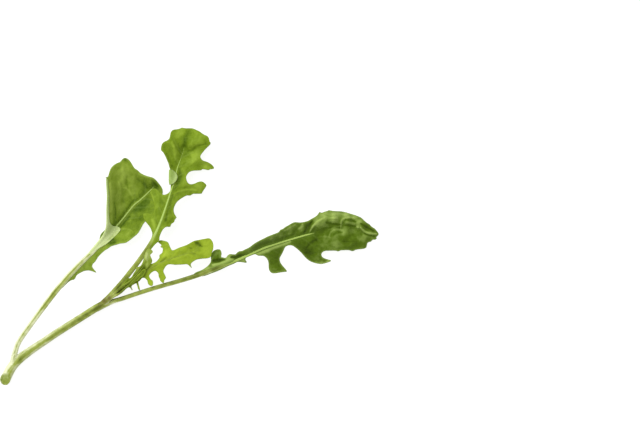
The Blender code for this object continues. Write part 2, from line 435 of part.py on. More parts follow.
def stalk_object(name, line):
    # A round stalk along the line, thicker or thinner with each point's radius.
    rows = smooth_line(line, STALK_STEPS)
    curve = bpy.data.curves.new(name, "CURVE")
    curve.dimensions = "3D"
    curve.bevel_depth = MM
    curve.bevel_resolution = 2
    curve.use_fill_caps = True
    spline = curve.splines.new("POLY")
    spline.points.add(len(rows) - 1)
    for point, (x, y, z, radius) in zip(spline.points, rows):
        point.co = (x * MM, y * MM, z * MM, 1.0)
        point.radius = radius
    made = bpy.data.objects.new(name, curve)
    bpy.context.scene.collection.objects.link(made)
    return made


def as_mesh(source):
    # The evaluated object as a closed mesh, with a curve's loose caps welded on.
    graph = bpy.context.evaluated_depsgraph_get()
    data = bpy.data.meshes.new_from_object(source.evaluated_get(graph))
    mesh = bmesh.new()
    mesh.from_mesh(data)
    bmesh.ops.remove_doubles(mesh, verts=mesh.verts, dist=1e-6)
    bmesh.ops.recalc_face_normals(mesh, faces=mesh.faces)
    bmesh.ops.triangulate(mesh, faces=mesh.faces)
    mesh.to_mesh(data)
    mesh.free()
    made = bpy.data.objects.new(source.name + "_mesh", data)
    made.matrix_world = source.matrix_world
    bpy.context.scene.collection.objects.link(made)
    bpy.data.objects.remove(source, do_unlink=True)
    return made


def boolean(target, operation, collection=None, other=None):
    step = target.modifiers.new(operation.lower(), "BOOLEAN")
    step.operation = operation
    step.solver = "EXACT"
    if collection:
        step.operand_type = "COLLECTION"
        step.collection = collection
    else:
        step.object = other
    with bpy.context.temp_override(object=target, active_object=target):
        bpy.ops.object.modifier_apply(modifier=step.name)


def fused(name, pieces, roughness, home):
    # Joins the pieces into one closed body and gives it its name, material and collection.
    meshes = [as_mesh(piece) for piece in pieces]
    body, others = meshes[0], meshes[1:]
    if others:
        joined = new_collection(name + "_pieces")
        for piece in others:
            joined.objects.link(piece)
            bpy.context.scene.collection.objects.unlink(piece)
        boolean(body, "UNION", collection=joined)
        for piece in others:
            bpy.data.objects.remove(piece, do_unlink=True)
        bpy.data.collections.remove(joined)
    body.name = name
    body.data.name = name
    body.data.materials.clear()
    body.data.materials.append(new_material(name, roughness))
    bpy.context.scene.collection.objects.unlink(body)
    home.objects.link(body)
    return body


def table_cutter(home):
    # A block below the table, which leaves a small flat wherever a piece presses on the table.
    bpy.ops.mesh.primitive_cube_add(size=1.0, location=(0, 0, -TABLE_CUT_DEPTH / 2 * MM))
    block = bpy.context.object
    block.name = "table_cutter"
    block.scale = (TABLE_CUT_SIDE * MM, TABLE_CUT_SIDE * MM, TABLE_CUT_DEPTH * MM)
    bpy.ops.object.transform_apply(location=False, rotation=False, scale=True)
    return as_helper(block, home)


def knife_cutter(home):
    # A block on the outer side of the slanted cut through the stem.
    normal = Vector(CUT_FACE_NORMAL).normalized()
    centre = Vector(CUT_FACE_POINT) + normal * KNIFE_CUT_SIDE / 2
    bpy.ops.mesh.primitive_cube_add(size=KNIFE_CUT_SIDE * MM, location=centre * MM)
    block = bpy.context.object
    block.name = "knife_cutter"
    block.rotation_euler = normal.to_track_quat("Z", "Y").to_euler()
    return as_helper(block, home)


def as_helper(block, home):
    for collection in list(block.users_collection):
        collection.objects.unlink(block)
    home.objects.link(block)
    block.hide_render = True
    block.display_type = "WIRE"
    bpy.context.view_layer.update()
    return block


def build_stem(home, knife, table):
    pieces = [stalk_object("stem_core", STEM_LINE)]
    pieces += [stalk_object("stub_" + name, line) for name, line in STUB_LINES.items()]
    stem = fused("stem", pieces, STEM_ROUGHNESS, home)
    boolean(stem, "DIFFERENCE", other=knife)
    boolean(stem, "DIFFERENCE", other=table)
    return stem


def from_stub(name, stalk):
    # The stalk with its first point added: just past the end of its stub, and as thick.
    before, last = (np.array(point) for point in STUB_LINES[name][-2:])
    ahead = last[:3] - before[:3]
    first = last[:3] + ahead / np.linalg.norm(ahead) * NODE_GAP
    return [(*first, last[3])] + stalk


def build_leaf(name, stalk, sheets, home, table):
    # Each sheet is (margin, heights, fold or None); the first also follows the stalk's own heights.
    pieces = [stalk_object(name + "_stalk", from_stub(name, stalk))]
    spine = [(x, y, z) for x, y, z, _ in stalk]
    for number, (margin, heights, fold) in enumerate(sheets):
        surface = HeightSurface(heights + (spine if number == 0 else []))
        pieces.append(sheet_object(f"{name}_sheet_{number}", margin, surface, fold))
    leaf = fused(name, pieces, LEAF_ROUGHNESS, home)
    boolean(leaf, "DIFFERENCE", other=table)
    return leaf


def main():
    clear_scene()
    sprig = new_collection("wild_arugula_sprig")
    cutters = new_collection("cutters")
    table = table_cutter(cutters)
    knife = knife_cutter(cutters)

    build_stem(sprig, knife, table)

    lower_fold = Fold(LOWER_FOLD, LOWER_FLAP, LOWER_INSIDE)
    lower_sheets = [
        (LOWER_MARGIN, LOWER_HEIGHTS, lower_fold),
        (LOWER_SIDE_LOBE, LOWER_SIDE_LOBE_HEIGHTS, None),
    ]
    build_leaf("leaf_lower", LOWER_STALK, lower_sheets, sprig, table)

    # The fold runs up the left side, so the margin is listed from the fold's top round to its foot.
    upper_fold = Fold(UPPER_FOLD, UPPER_FLAP, UPPER_INSIDE)
    upper_margin = UPPER_TOP_MARGIN + UPPER_LEFT_MARGIN
    upper_sheets = [(upper_margin, UPPER_HEIGHTS, upper_fold)]
    build_leaf("leaf_upper", UPPER_STALK, upper_sheets, sprig, table)

    right_sheets = [(RIGHT_MARGIN, RIGHT_HEIGHTS, None)]
    build_leaf("leaf_right", RIGHT_STALK, right_sheets, sprig, table)

    young_sheets = [(YOUNG_MARGIN, YOUNG_HEIGHTS, None)]
    build_leaf("leaf_young", YOUNG_STALK, young_sheets, sprig, table)

    long_bud_sheets = [(LONG_BUD_MARGIN, LONG_BUD_HEIGHTS, None)]
    build_leaf("leaflet_long", LONG_BUD_STALK, long_bud_sheets, sprig, table)
    short_bud_sheets = [(SHORT_BUD_MARGIN, SHORT_BUD_HEIGHTS, None)]
    build_leaf("leaflet_short", SHORT_BUD_STALK, short_bud_sheets, sprig, table)


main()
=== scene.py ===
# Wild arugula sprig, freshly cut: fine blades with veins and puckers, grooved stalks and a forked stem.
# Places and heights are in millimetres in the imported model's frame, and turn to metres as a mesh is finished.
import math

import bmesh
import bpy
import numpy as np
from mathutils import Matrix, Vector, noise
from mathutils.kdtree import KDTree


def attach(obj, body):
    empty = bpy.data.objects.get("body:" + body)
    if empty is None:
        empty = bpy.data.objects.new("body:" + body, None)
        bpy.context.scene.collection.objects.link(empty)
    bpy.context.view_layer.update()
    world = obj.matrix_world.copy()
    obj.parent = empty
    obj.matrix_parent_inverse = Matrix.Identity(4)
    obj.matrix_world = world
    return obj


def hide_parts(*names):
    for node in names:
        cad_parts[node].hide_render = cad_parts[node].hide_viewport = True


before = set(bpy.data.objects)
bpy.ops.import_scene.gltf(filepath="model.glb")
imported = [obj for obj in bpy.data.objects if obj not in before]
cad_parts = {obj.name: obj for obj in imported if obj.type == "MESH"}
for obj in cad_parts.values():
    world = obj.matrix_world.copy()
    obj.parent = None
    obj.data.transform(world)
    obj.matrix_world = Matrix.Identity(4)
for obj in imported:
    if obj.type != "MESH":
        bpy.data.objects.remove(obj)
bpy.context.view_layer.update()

mm = 0.001
spacing = 0.62  # edge length of a blade's cage, halved once at the end
rowStep = 0.5  # how far apart the rings of a stalk are
bladeThickness = 0.3
# How an outline is filled: until few of its edges are this much longer than the spacing.
filling = {"rounds": 14, "tooLong": 1.35, "fewLeft": 0.004}
grooveWidth = 0.42  # in radians round a stalk
skinRibs = 7  # fine ribs round the stem


def linear(code):  # sRGB hex to the linear colour that a shader takes
    parts = [int(code[i:i + 2], 16) / 255 for i in (1, 3, 5)]
    return tuple(c / 12.92 if c < 0.04045 else ((c + 0.055) / 1.055) ** 2.4 for c in parts) + (1.0,)


def addNode(tree, kind, settings=None, inputs=None):  # a node with its settings, values and links
    node = tree.nodes.new(kind)
    for name, value in (settings or {}).items():
        setattr(node, name, value)
    for name, value in (inputs or {}).items():
        if isinstance(value, bpy.types.NodeSocket):
            tree.links.new(value, node.inputs[name])
        else:
            node.inputs[name].default_value = value
    return node


# Lines, heights and distances

def smoothLine(points, steps, closed=False):  # a curve through every point, in even shares between them
    rows = [np.array(point, float) for point in points]
    if closed:
        rows = [rows[-1]] + rows + rows[:2]
    else:
        rows = [2 * rows[0] - rows[1]] + rows + [2 * rows[-1] - rows[-2]]
    line = []
    for before, start, end, after in zip(rows, rows[1:], rows[2:], rows[3:]):
        for t in np.arange(steps) / steps:
            line.append(0.5 * (2 * start + (end - before) * t
                               + (2 * before - 5 * start + 4 * end - after) * t * t
                               + (3 * start - before - 3 * end + after) * t ** 3))
    if not closed:
        line.append(rows[-2])
    return np.array(line)


def evenLine(line, step, closed=False):  # the same line with a point every step
    if closed:
        line = np.vstack([line, line[:1]])
    run = np.concatenate([[0], np.cumsum(np.linalg.norm(np.diff(line[:, :2], axis=0), axis=1))])
    count = max(3, round(run[-1] / step))
    at = np.linspace(0, run[-1], count + 1)[:count if closed else count + 1]
    return np.stack([np.interp(at, run, column) for column in line.T], axis=1)


def heightFit(heights):  # a smooth thin-plate surface through scattered (x, y, height) rows
    rows = np.array(heights, float)
    places = rows[:, :2]
    count = len(rows)

    def bend(plan):
        squared = ((plan[:, None] - places[None]) ** 2).sum(2)
        return 0.5 * squared * np.log(squared + 1e-12)

    flat = np.hstack([np.ones((count, 1)), places])
    system = np.zeros((count + 3, count + 3))
    system[:count, :count] = bend(places) + 0.02 * np.eye(count)
    system[:count, count:] = flat
    system[count:, :count] = flat.T
    weights = np.linalg.solve(system, np.concatenate([rows[:, 2], np.zeros(3)]))

    def heightAt(plan):
        return bend(plan) @ weights[:-3] + np.hstack([np.ones((len(plan), 1)), plan]) @ weights[-3:]

    return heightAt


def nearLine(plan, line):  # distance to a line, and share of its length at the nearest point
    line = np.array(line, float)[:, :2]
    starts, along = line[:-1], np.diff(line, axis=0)
    lengths = np.linalg.norm(along, axis=1)
    run = np.concatenate([[0], np.cumsum(lengths)])
    offset = plan[:, None] - starts[None]
    share = np.clip((offset * along).sum(2) / lengths ** 2, 0, 1)
    gap = np.linalg.norm(offset - along * share[..., None], axis=2)
    best = gap.argmin(1)
    rows = np.arange(len(plan))
    return gap[rows, best], (run[best] + share[rows, best] * lengths[best]) / run[-1]


def bell(distance, width):
    return np.exp(-(distance / width) ** 2)


def ease(distance, reach):  # 0 at the line, 1 from reach on
    share = np.clip(distance / reach, 0, 1)
    return share * share * (3 - 2 * share)


def waves(plan, size, seed):  # soft bumps of this size, -1 to 1
    return np.array([noise.noise(Vector((x / size, y / size, seed))) for x, y in plan])


# Meshes

def fillRing(ring):  # an outline filled with even triangles, flat at z 0
    bm = bmesh.new()
    verts = [bm.verts.new((x, y, 0.0)) for x, y in ring]
    rim = [bm.edges.new(pair) for pair in zip(verts, verts[1:] + verts[:1])]
    bmesh.ops.triangle_fill(bm, use_beauty=True, edges=rim)
    for _ in range(filling["rounds"]):
        inner = [edge for edge in bm.edges if not edge.is_boundary]
        tooLong = [edge for edge in inner if edge.calc_length() > filling["tooLong"] * spacing]
        if len(tooLong) < filling["fewLeft"] * len(inner):
            break
        bmesh.ops.subdivide_edges(bm, edges=tooLong, cuts=1)
        bmesh.ops.triangulate(bm, faces=bm.faces[:])
        bmesh.ops.beautify_fill(bm, faces=bm.faces[:], edges=[e for e in bm.edges if not e.is_boundary])
        bmesh.ops.smooth_vert(bm, verts=[v for v in bm.verts if not v.is_boundary], factor=0.5,
                              use_axis_x=True, use_axis_y=True, use_axis_z=False)
    return bm


def addMesh(bm, extra):  # joins another bmesh into this one
    data = bpy.data.meshes.new("part")
    extra.to_mesh(data)
    extra.free()
    bm.from_mesh(data)
    bpy.data.meshes.remove(data)


def rollGrid(line, out, radii, steps=9):  # the half turn where a flap rolls back over the blade
    bm = bmesh.new()
    bmesh.ops.create_grid(bm, x_segments=len(line) - 1, y_segments=steps)
    bm.verts.ensure_lookup_table()
    for step in range(steps + 1):
        angle = math.pi * step / steps
        place = line + out * (radii * math.sin(angle))[:, None]
        lift = radii * (1 - math.cos(angle))
        for column, ((x, y), z) in enumerate(zip(place, lift)):
            bm.verts[step * len(line) + column].co = (x, y, z)
    bmesh.ops.triangulate(bm, faces=bm.faces[:])
    return bm


def stalkTube(line, sides=18, groove=0.0, ribs=0.0):  # a tube along x, y, z, radius rows, grooved on top
    bm = bmesh.new()
    centres = line[:, :3]
    ahead = np.gradient(centres, axis=0)
    poses = []
    for centre, forward, radius in zip(centres, ahead, line[:, 3]):
        forward = Vector(forward).normalized()
        side = forward.cross(Vector((0, 0, 1))).normalized()
        up = side.cross(forward)
        turn = Matrix((side, up, forward)).transposed().to_4x4()
        poses.append(Matrix.Translation(centre) @ turn @ Matrix.Diagonal((radius, radius, radius, 1)))
    ring = bmesh.ops.create_circle(bm, cap_ends=True, radius=1.0, segments=sides)["verts"]
    for vert in ring:
        angle = math.atan2(vert.co.y, vert.co.x)
        dent = groove * math.exp(-((angle - math.pi / 2) / grooveWidth) ** 2)
        vert.co *= 1 - dent + ribs * math.cos(skinRibs * angle)
    bmesh.ops.transform(bm, matrix=poses[0], verts=ring)
    edges = [edge for edge in bm.edges]
    for old, new in zip(poses, poses[1:]):
        grown = bmesh.ops.extrude_edge_only(bm, edges=edges)["geom"]
        ring = [item for item in grown if isinstance(item, bmesh.types.BMVert)]
        edges = [item for item in grown if isinstance(item, bmesh.types.BMEdge)
                 and item.verts[0] in ring and item.verts[1] in ring]
        bmesh.ops.transform(bm, matrix=new @ old.inverted(), verts=ring)
    bmesh.ops.holes_fill(bm, edges=edges, sides=sides)
    bmesh.ops.recalc_face_normals(bm, faces=bm.faces)
    return bm


def setMasks(data, masks):  # named values at each point, for the materials
    for name, values in masks.items():
        values = np.asarray(values, np.float32)
        kind = "FLOAT" if values.ndim == 1 else "FLOAT_VECTOR"
        layer = data.attributes.new(name, kind, "POINT")
        layer.data.foreach_set("value" if kind == "FLOAT" else "vector", values.ravel())


def finishObject(name, bm, materials):  # millimetres to metres, smooth, at the origin
    bmesh.ops.scale(bm, verts=bm.verts, vec=(mm, mm, mm))
    data = bpy.data.meshes.new(name)
    bm.to_mesh(data)
    bm.free()
    data.shade_smooth()
    for material in materials:
        data.materials.append(material)
    made = bpy.data.objects.new(name, data)
    bpy.context.scene.collection.objects.link(made)
    return made


def planOf(bm):
    return np.array([vert.co[:] for vert in bm.verts])


# Materials

def startMaterial(name):  # a new material, its tree and shader, and the place on it in millimetres
    made = bpy.data.materials.new(name)
    made.use_nodes = True
    tree = made.node_tree
    place = addNode(tree, "ShaderNodeMapping", {"vector_type": "POINT"}, {
        "Vector": addNode(tree, "ShaderNodeTexCoord").outputs["Object"], "Scale": (1 / mm, 1 / mm, 1 / mm)})
    return made, tree, tree.nodes["Principled BSDF"], place.outputs["Vector"]


# The tone mask runs from deep over middle to light, and each pattern moves it by its share.
# Then each layer lays its tint over what is below it, as far as its mask says.
def layeredColour(tree, look, patterns, layers):
    tone = addNode(tree, "ShaderNodeAttribute", {"attribute_name": "tone"}).outputs["Fac"]
    for pattern, share in patterns:
        change = addNode(tree, "ShaderNodeMath", {"operation": "MULTIPLY_ADD"}, {
            0: pattern, 1: share, 2: -share / 2})
        tone = addNode(tree, "ShaderNodeMath", {"operation": "ADD"}, {
            0: tone, 1: change.outputs[0]}).outputs[0]
    deeper = addNode(tree, "ShaderNodeMath", {"operation": "MULTIPLY"}, {0: tone, 1: -1.0}).outputs[0]
    colour = linear(look["middle"])
    for mask, tint in [(tone, "light"), (deeper, "deep")] + layers:
        if isinstance(mask, str):
            mask = addNode(tree, "ShaderNodeAttribute", {"attribute_name": mask}).outputs["Fac"]
        colour = addNode(tree, "ShaderNodeMix", {"data_type": "RGBA", "clamp_factor": True},
                         {0: mask, 6: colour, 7: linear(look[tint])}).outputs[2]
    return colour


tissue = {
    "mottle": 0.9,  # how far the blotches move the tone
    "veinletWidth": 0.16,  # as a share of the cell that it bounds
    "driftScale": 0.16, "drift": 5.0,  # the panels bend every 6 mm or so, by up to 5 mm
    "stretch": 2.2,  # how much longer a panel is than wide
    "panelSoftness": 0.25,
    "grainScale": 2.2,
    "smoother": 0.07, "rougher": 0.09,  # how the wax varies from blotch to blotch
    "bump": 0.5, "bumpDepth": 0.06,
    "ior": 1.42,  # wax over watery cells
}


# Rocket leaf blade: a living leaf, satin from its thin wax, with tissue that puckers between the veins.
# The eye gets soft broad highlights, mottled greens, paler veins and a margin a shade paler.
def bladeTissue(name, look):
    made, tree, shader, millimetres = startMaterial(name)
    blotches = addNode(tree, "ShaderNodeTexNoise", None, {
        "Vector": millimetres, "Scale": 1 / look["blotch"], "Detail": 3.0, "Roughness": 0.55}).outputs["Fac"]
    # Veinlets are about 0.3 mm apart on the real leaf and drawn 1 mm apart, so that they show.
    cells = addNode(tree, "ShaderNodeTexVoronoi", {"feature": "DISTANCE_TO_EDGE"}, {
        "Vector": millimetres, "Scale": 1 / look["veinlet"]})
    net = addNode(tree, "ShaderNodeMapRange", None, {
        "Value": cells.outputs["Distance"], "From Min": 0.0, "From Max": tissue["veinletWidth"],
        "To Min": 1.0, "To Max": 0.0}).outputs["Result"]
    # Panels of tissue between the side veins lie along the blade and bend with it.
    drift = addNode(tree, "ShaderNodeTexNoise", None, {
        "Vector": millimetres, "Scale": tissue["driftScale"], "Detail": 1.0})
    bent = addNode(tree, "ShaderNodeVectorMath", {"operation": "MULTIPLY_ADD"}, {
        0: drift.outputs["Color"], 1: (tissue["drift"],) * 3, 2: millimetres})
    along = addNode(tree, "ShaderNodeMapping", {"vector_type": "TEXTURE"}, {
        "Vector": bent.outputs[0], "Rotation": (0, 0, math.radians(look["lie"])),
        "Scale": (tissue["stretch"], 1, 1)})
    panels = addNode(tree, "ShaderNodeTexVoronoi", {"feature": "SMOOTH_F1"}, {
        "Vector": along.outputs["Vector"], "Scale": 1 / look["panel"], "Smoothness": tissue["panelSoftness"]})
    layers = []
    for mask, share in ((net, "netShare"), ("vein", "veinShare")):
        if isinstance(mask, str):
            mask = addNode(tree, "ShaderNodeAttribute", {"attribute_name": mask}).outputs["Fac"]
        faint = addNode(tree, "ShaderNodeMath", {"operation": "MULTIPLY"}, {0: mask, 1: look[share]})
        layers.append((faint.outputs[0], "vein"))
    patterns = [(blotches, tissue["mottle"]), (panels.outputs["Color"], look["panelShare"])]
    colour = layeredColour(tree, look, patterns, layers + [("rib", "rib"), ("rim", "rim")])
    sheen = addNode(tree, "ShaderNodeMapRange", None, {
        "Value": blotches, "To Min": look["rough"] - tissue["smoother"],
        "To Max": look["rough"] + tissue["rougher"]})
    grain = addNode(tree, "ShaderNodeTexNoise", None, {
        "Vector": millimetres, "Scale": tissue["grainScale"], "Detail": 2.0, "Roughness": 0.6})
    height = addNode(tree, "ShaderNodeMath", {"operation": "MULTIPLY_ADD"}, {
        0: net, 1: -0.5, 2: grain.outputs["Fac"]})
    bump = addNode(tree, "ShaderNodeBump", None, {
        "Strength": tissue["bump"], "Distance": tissue["bumpDepth"] * mm, "Height": height.outputs[0]})
    tree.links.new(colour, shader.inputs["Base Color"])
    tree.links.new(sheen.outputs["Result"], shader.inputs["Roughness"])
    tree.links.new(bump.outputs["Normal"], shader.inputs["Normal"])
    shader.inputs["IOR"].default_value = tissue["ior"]
    shader.inputs["Specular IOR Level"].default_value = look["gloss"]
    return made


skin = {
    "streaks": 1.2, "mottle": 1.3,  # how far each moves the tone
    "mottleScale": 0.45,
    "bump": 0.45, "bumpDepth": 0.05,
    "rough": 0.38, "ior": 1.42, "gloss": 0.15,
}


# Stalk and stem skin: stretched pale green cells over watery tissue, smooth and a little glossy.
# The eye gets long fine streaks along the stalk, pale at its foot and greener towards the leaf.
# Its tone also carries painted side light and shade by which way the skin faces, and painted shade in the
# fork's crotches.
def stalkSkin(name, look):
    made, tree, shader, millimetres = startMaterial(name)
    grain = addNode(tree, "ShaderNodeAttribute", {"attribute_name": "grain"})
    streaks = addNode(tree, "ShaderNodeTexNoise", None, {
        "Vector": grain.outputs["Vector"], "Scale": 1 / look["streak"], "Detail": 3.0,
        "Roughness": 0.6}).outputs["Fac"]
    blotches = addNode(tree, "ShaderNodeTexNoise", None, {
        "Vector": millimetres, "Scale": skin["mottleScale"], "Detail": 2.0}).outputs["Fac"]
    patterns = [(streaks, skin["streaks"]), (blotches, skin["mottle"])]
    colour = layeredColour(tree, look, patterns, [("leafy", "leafy"), ("forkBlushAndShade", "forkBlushAndShade")])
    bump = addNode(tree, "ShaderNodeBump", None, {
        "Strength": skin["bump"], "Distance": skin["bumpDepth"] * mm, "Height": streaks})
    tree.links.new(colour, shader.inputs["Base Color"])
    tree.links.new(bump.outputs["Normal"], shader.inputs["Normal"])
    shader.inputs["Roughness"].default_value = skin["rough"]
    shader.inputs["IOR"].default_value = skin["ior"]
    shader.inputs["Specular IOR Level"].default_value = skin["gloss"]
    return made


stalkLook = {
    "light": "#d3d6b0", "middle": "#8f9b45", "deep": "#55611a", "leafy": "#a9c262", "forkBlushAndShade": "#5c5226",
    "streak": 0.45,
}
stalkMaterial = stalkSkin("stem_skin", stalkLook)
# The cut shows wet pith: deeper and greener than the stem's pale foot, and coarser.
cutLook = dict(stalkLook, light="#b4c078", middle="#7f8e34", deep="#5a6a22", streak=0.7)
cutMaterial = stalkSkin("cut_pith", cutLook)
print("materials ready")


# Stem: x, y, height and radius from the cut end to the fork, and a stub for each stalk that leaves it.
stem = {
    "line": [
        (-72.2, -51.4, 2.05, 2.15), (-70.6, -48.1, 1.95, 2.1), (-69.2, -45.2, 1.85, 1.95),
        (-67.7, -42.4, 1.75, 1.88), (-65.9, -40.1, 1.7, 1.85), (-63.1, -37.7, 1.85, 1.72),
        (-59.2, -34.95, 2.1, 1.55), (-54.2, -31.6, 2.4, 1.48), (-50.2, -28.9, 2.65, 1.46),
        (-42.2, -23.85, 2.95, 1.42), (-36.1, -20, 3.05, 1.45), (-32.8, -18.1, 3.1, 1.4),
    ],
    "stubs": {
        "leaf_lower": [(-66.9, -41.2, 2, 1.4), (-66.6, -38.6, 2.5, 1.15), (-66, -36.2, 3, 1.02)],
        "leaf_upper": [(-34.4, -19.2, 3.1, 1.15), (-30.6, -15.6, 3.5, 1.12), (-27.5, -12.2, 3.9, 1.05)],
        "leaf_right": [(-35, -20, 2.8, 1), (-31.6, -18.2, 2.9, 1), (-28.6, -16.9, 3, 0.9)],
        "leaf_young": [(-33.4, -18.3, 3.7, 0.8), (-29.6, -15.5, 4.3, 0.7), (-26.4, -13.2, 4.6, 0.62)],
        "leaflet_long": [(-32.5, -17.8, 3.7, 0.8), (-29.8, -15.1, 5.2, 0.6), (-27.2, -13, 5.95, 0.42)],
        "leaflet_short": [(-32, -17.6, 3.6, 0.8), (-28.8, -15.3, 5.3, 0.55), (-26.1, -13.8, 6.05, 0.4)],
    },
    "cutPoint": (-70.45, -48.75, 0),
    "cutNormal": (-0.29, -0.55, 0.78),
    "voxel": 0.2, "sides": 28, "ribs": 0.02, "stubTaper": (0.97, 0.9, 0.8, 0.6),
    "cutSkin": 0.14, "pithEdge": 0.3, "pithSink": 0.05,
    "streakLength": 14, "streakShift": 7,  # each stalk has streaks of its own
    # Where the skin is paler (+) or deeper (-): x, y, reach, strength. The deeper patches at the fork are its
    # darker olive skin together with painted shade in the recesses between the stalks.
    "tones": [
        (-69.8, -44.2, 2.6, 0.9), (-67.4, -39.6, 2.4, 0.9), (-64, -39.4, 0.9, -0.6),
        (-70.4, -45.7, 0.7, -0.8), (-68.7, -45.7, 0.8, -0.8), (-58, -34, 6, 0.3), (-50, -28.5, 5, 0.1),
        (-40, -22.8, 5, -0.2), (-34.5, -18.9, 2.5, -0.7), (-31, -16, 2.5, -0.2),
        (-25.6, -12.2, 1.6, -1), (-29, -17.4, 2, 0.5), (-27.4, -12, 1.6, -0.3),
    ],
    # The fork's brownish blush, deepened as painted shade in the crotches where the stalks leave the stem: x,
    # y, reach, strength.
    "forkBlushAndShade": [(-30.2, -15.6, 1, 0.85), (-32.2, -16.7, 1.1, 0.9), (-33.8, -18.3, 1, 0.4)],
    # Painted side light and shade: the skin is paler or deeper by which way it faces. Each row gives which way
    # it faces, how wide it is, and how pale.
    "paintedSideLight": [
        ((-0.62, 0.7, 0.25), 0.3, 0.5), ((0.05, -0.05, 1), 0.1, -0.5), ((0.5, -0.65, 0.5), 0.16, 0.2),
    ],
}


def grainOf(points, lines):  # a place along and round the nearest line, and which line that is
    best = np.full(len(points), np.inf)
    owner = np.zeros(len(points), int)
    grain = np.zeros((len(points), 3))
    for number, line in enumerate(lines):
        line = np.array(line)
        gap, share = nearLine(points[:, :2], line)
        rows = smoothLine(line, 6)
        run = np.linspace(0, 1, len(rows))
        middle = np.stack([np.interp(share, run, column) for column in rows[:, :3].T], axis=1)
        away = points - middle
        length = np.linalg.norm(np.diff(line[:, :2], axis=0), axis=1).sum()
        closer = gap < best
        down = share * length / stem["streakLength"] + stem["streakShift"] * number
        values = np.column_stack([away[:, 0] - away[:, 1], away[:, 2] * 1.4, down])
        grain[closer] = values[closer]
        owner[closer] = number
        best = np.where(closer, gap, best)
    return grain, owner


def tonesAt(plan, spots):
    total = np.zeros(len(plan))
    for x, y, reach, strength in spots:
        total += strength * bell(np.linalg.norm(plan - (x, y), axis=1), reach)
    return total


def paintedSideLightTones(bm, paintedSideLight):  # painted light and shade round a stalk, paler or deeper by which way its skin faces
    bm.normal_update()
    normals = np.array([vert.normal[:] for vert in bm.verts])
    total = np.zeros(len(normals))
    for towards, width, strength in paintedSideLight:
        facing = normals @ np.array(Vector(towards).normalized())
        total += strength * bell(1 - facing, width)
    return total


def weldedStem(lines):  # the stem and its stubs as one skin
    bm = bmesh.new()
    for number, line in enumerate(lines):
        rows = evenLine(smoothLine(line, 8), rowStep)
        if number > 0:
            rows[-len(stem["stubTaper"]):, 3] *= stem["stubTaper"]  # slides into the leaf's own stalk
        addMesh(bm, stalkTube(rows, stem["sides"], ribs=stem["ribs"] if number == 0 else 0.0))
    rough = finishObject("stem_rough", bm, [])
    weld = rough.modifiers.new("weld", "REMESH")
    weld.mode = "VOXEL"
    weld.voxel_size = stem["voxel"] * mm * 1
    graph = bpy.context.evaluated_depsgraph_get()
    data = bpy.data.meshes.new_from_object(rough.evaluated_get(graph))
    bpy.data.objects.remove(rough, do_unlink=True)
    bm = bmesh.new()
    bm.from_mesh(data)
    bpy.data.meshes.remove(data)
    bmesh.ops.scale(bm, verts=bm.verts, vec=(1 / mm, 1 / mm, 1 / mm))
    for _ in range(4):  # softens the crotches where stalks leave the stem
        bmesh.ops.smooth_vert(bm, verts=bm.verts, factor=0.5, use_axis_x=True, use_axis_y=True,
                              use_axis_z=True)
    return bm


def cutEnd(bm):  # the knife's cut, with a rim of skin round pith that has sunk a little
    bmesh.ops.bisect_plane(bm, geom=bm.verts[:] + bm.edges[:] + bm.faces[:], dist=1e-4,
                           plane_co=stem["cutPoint"], plane_no=stem["cutNormal"], clear_outer=True)
    rimEdges = [edge for edge in bm.edges if edge.is_boundary]
    cap = bmesh.ops.edgeloop_fill(bm, edges=rimEdges)["faces"]
    inner = bmesh.ops.inset_region(bm, faces=cap, thickness=stem["cutSkin"], depth=0.0)["faces"]
    bmesh.ops.inset_region(bm, faces=cap, thickness=stem["pithEdge"], depth=-stem["pithSink"])
    for face in inner + cap:
        face.material_index = 1
    bmesh.ops.triangulate(bm, faces=cap)


def buildStem():
    lines = [stem["line"]] + list(stem["stubs"].values())
    bm = weldedStem(lines)
    cutEnd(bm)
    for vert in bm.verts:
        vert.co.z = max(vert.co.z, 0.0)
    points = planOf(bm)
    grain, owner = grainOf(points, lines)
    tone = tonesAt(points[:, :2], stem["tones"]) + paintedSideLightTones(bm, stem["paintedSideLight"])
    for number, leaf in enumerate(leaves, 1):  # the stubs are in the same order as the leaves
        stubTone = tonesAt(points[:, :2], stem["tones"] + leaf["stalkTones"]) + paintedSideLightTones(bm, leaf["paintedSideLight"])
        tone = np.where(owner == number, stubTone, tone)
    masks = {"tone": tone, "forkBlushAndShade": tonesAt(points[:, :2], stem["forkBlushAndShade"]), "grain": grain}
    made = finishObject("stem_skin", bm, [stalkMaterial, cutMaterial])
    setMasks(made.data, masks)
    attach(made, "root")
    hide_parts("stem")
    print("stem", len(made.data.polygons), "faces")


# Leaf colours: sizes in millimetres, shares from 0 to 1, and how the panels of tissue lie in degrees.
topLook = {"panel": 2.0, "blotch": 2.6, "veinlet": 1.1, "veinShare": 0.2, "rough": 0.48, "gloss": 0.06}
undersideLook = {"panel": 2.0, "blotch": 3.0, "veinlet": 1.0, "netShare": 0.2, "veinShare": 0.5,
                 "rough": 0.55, "gloss": 0.1}
plainLeaf = {"fold": None, "flapTones": [], "lobes": []}
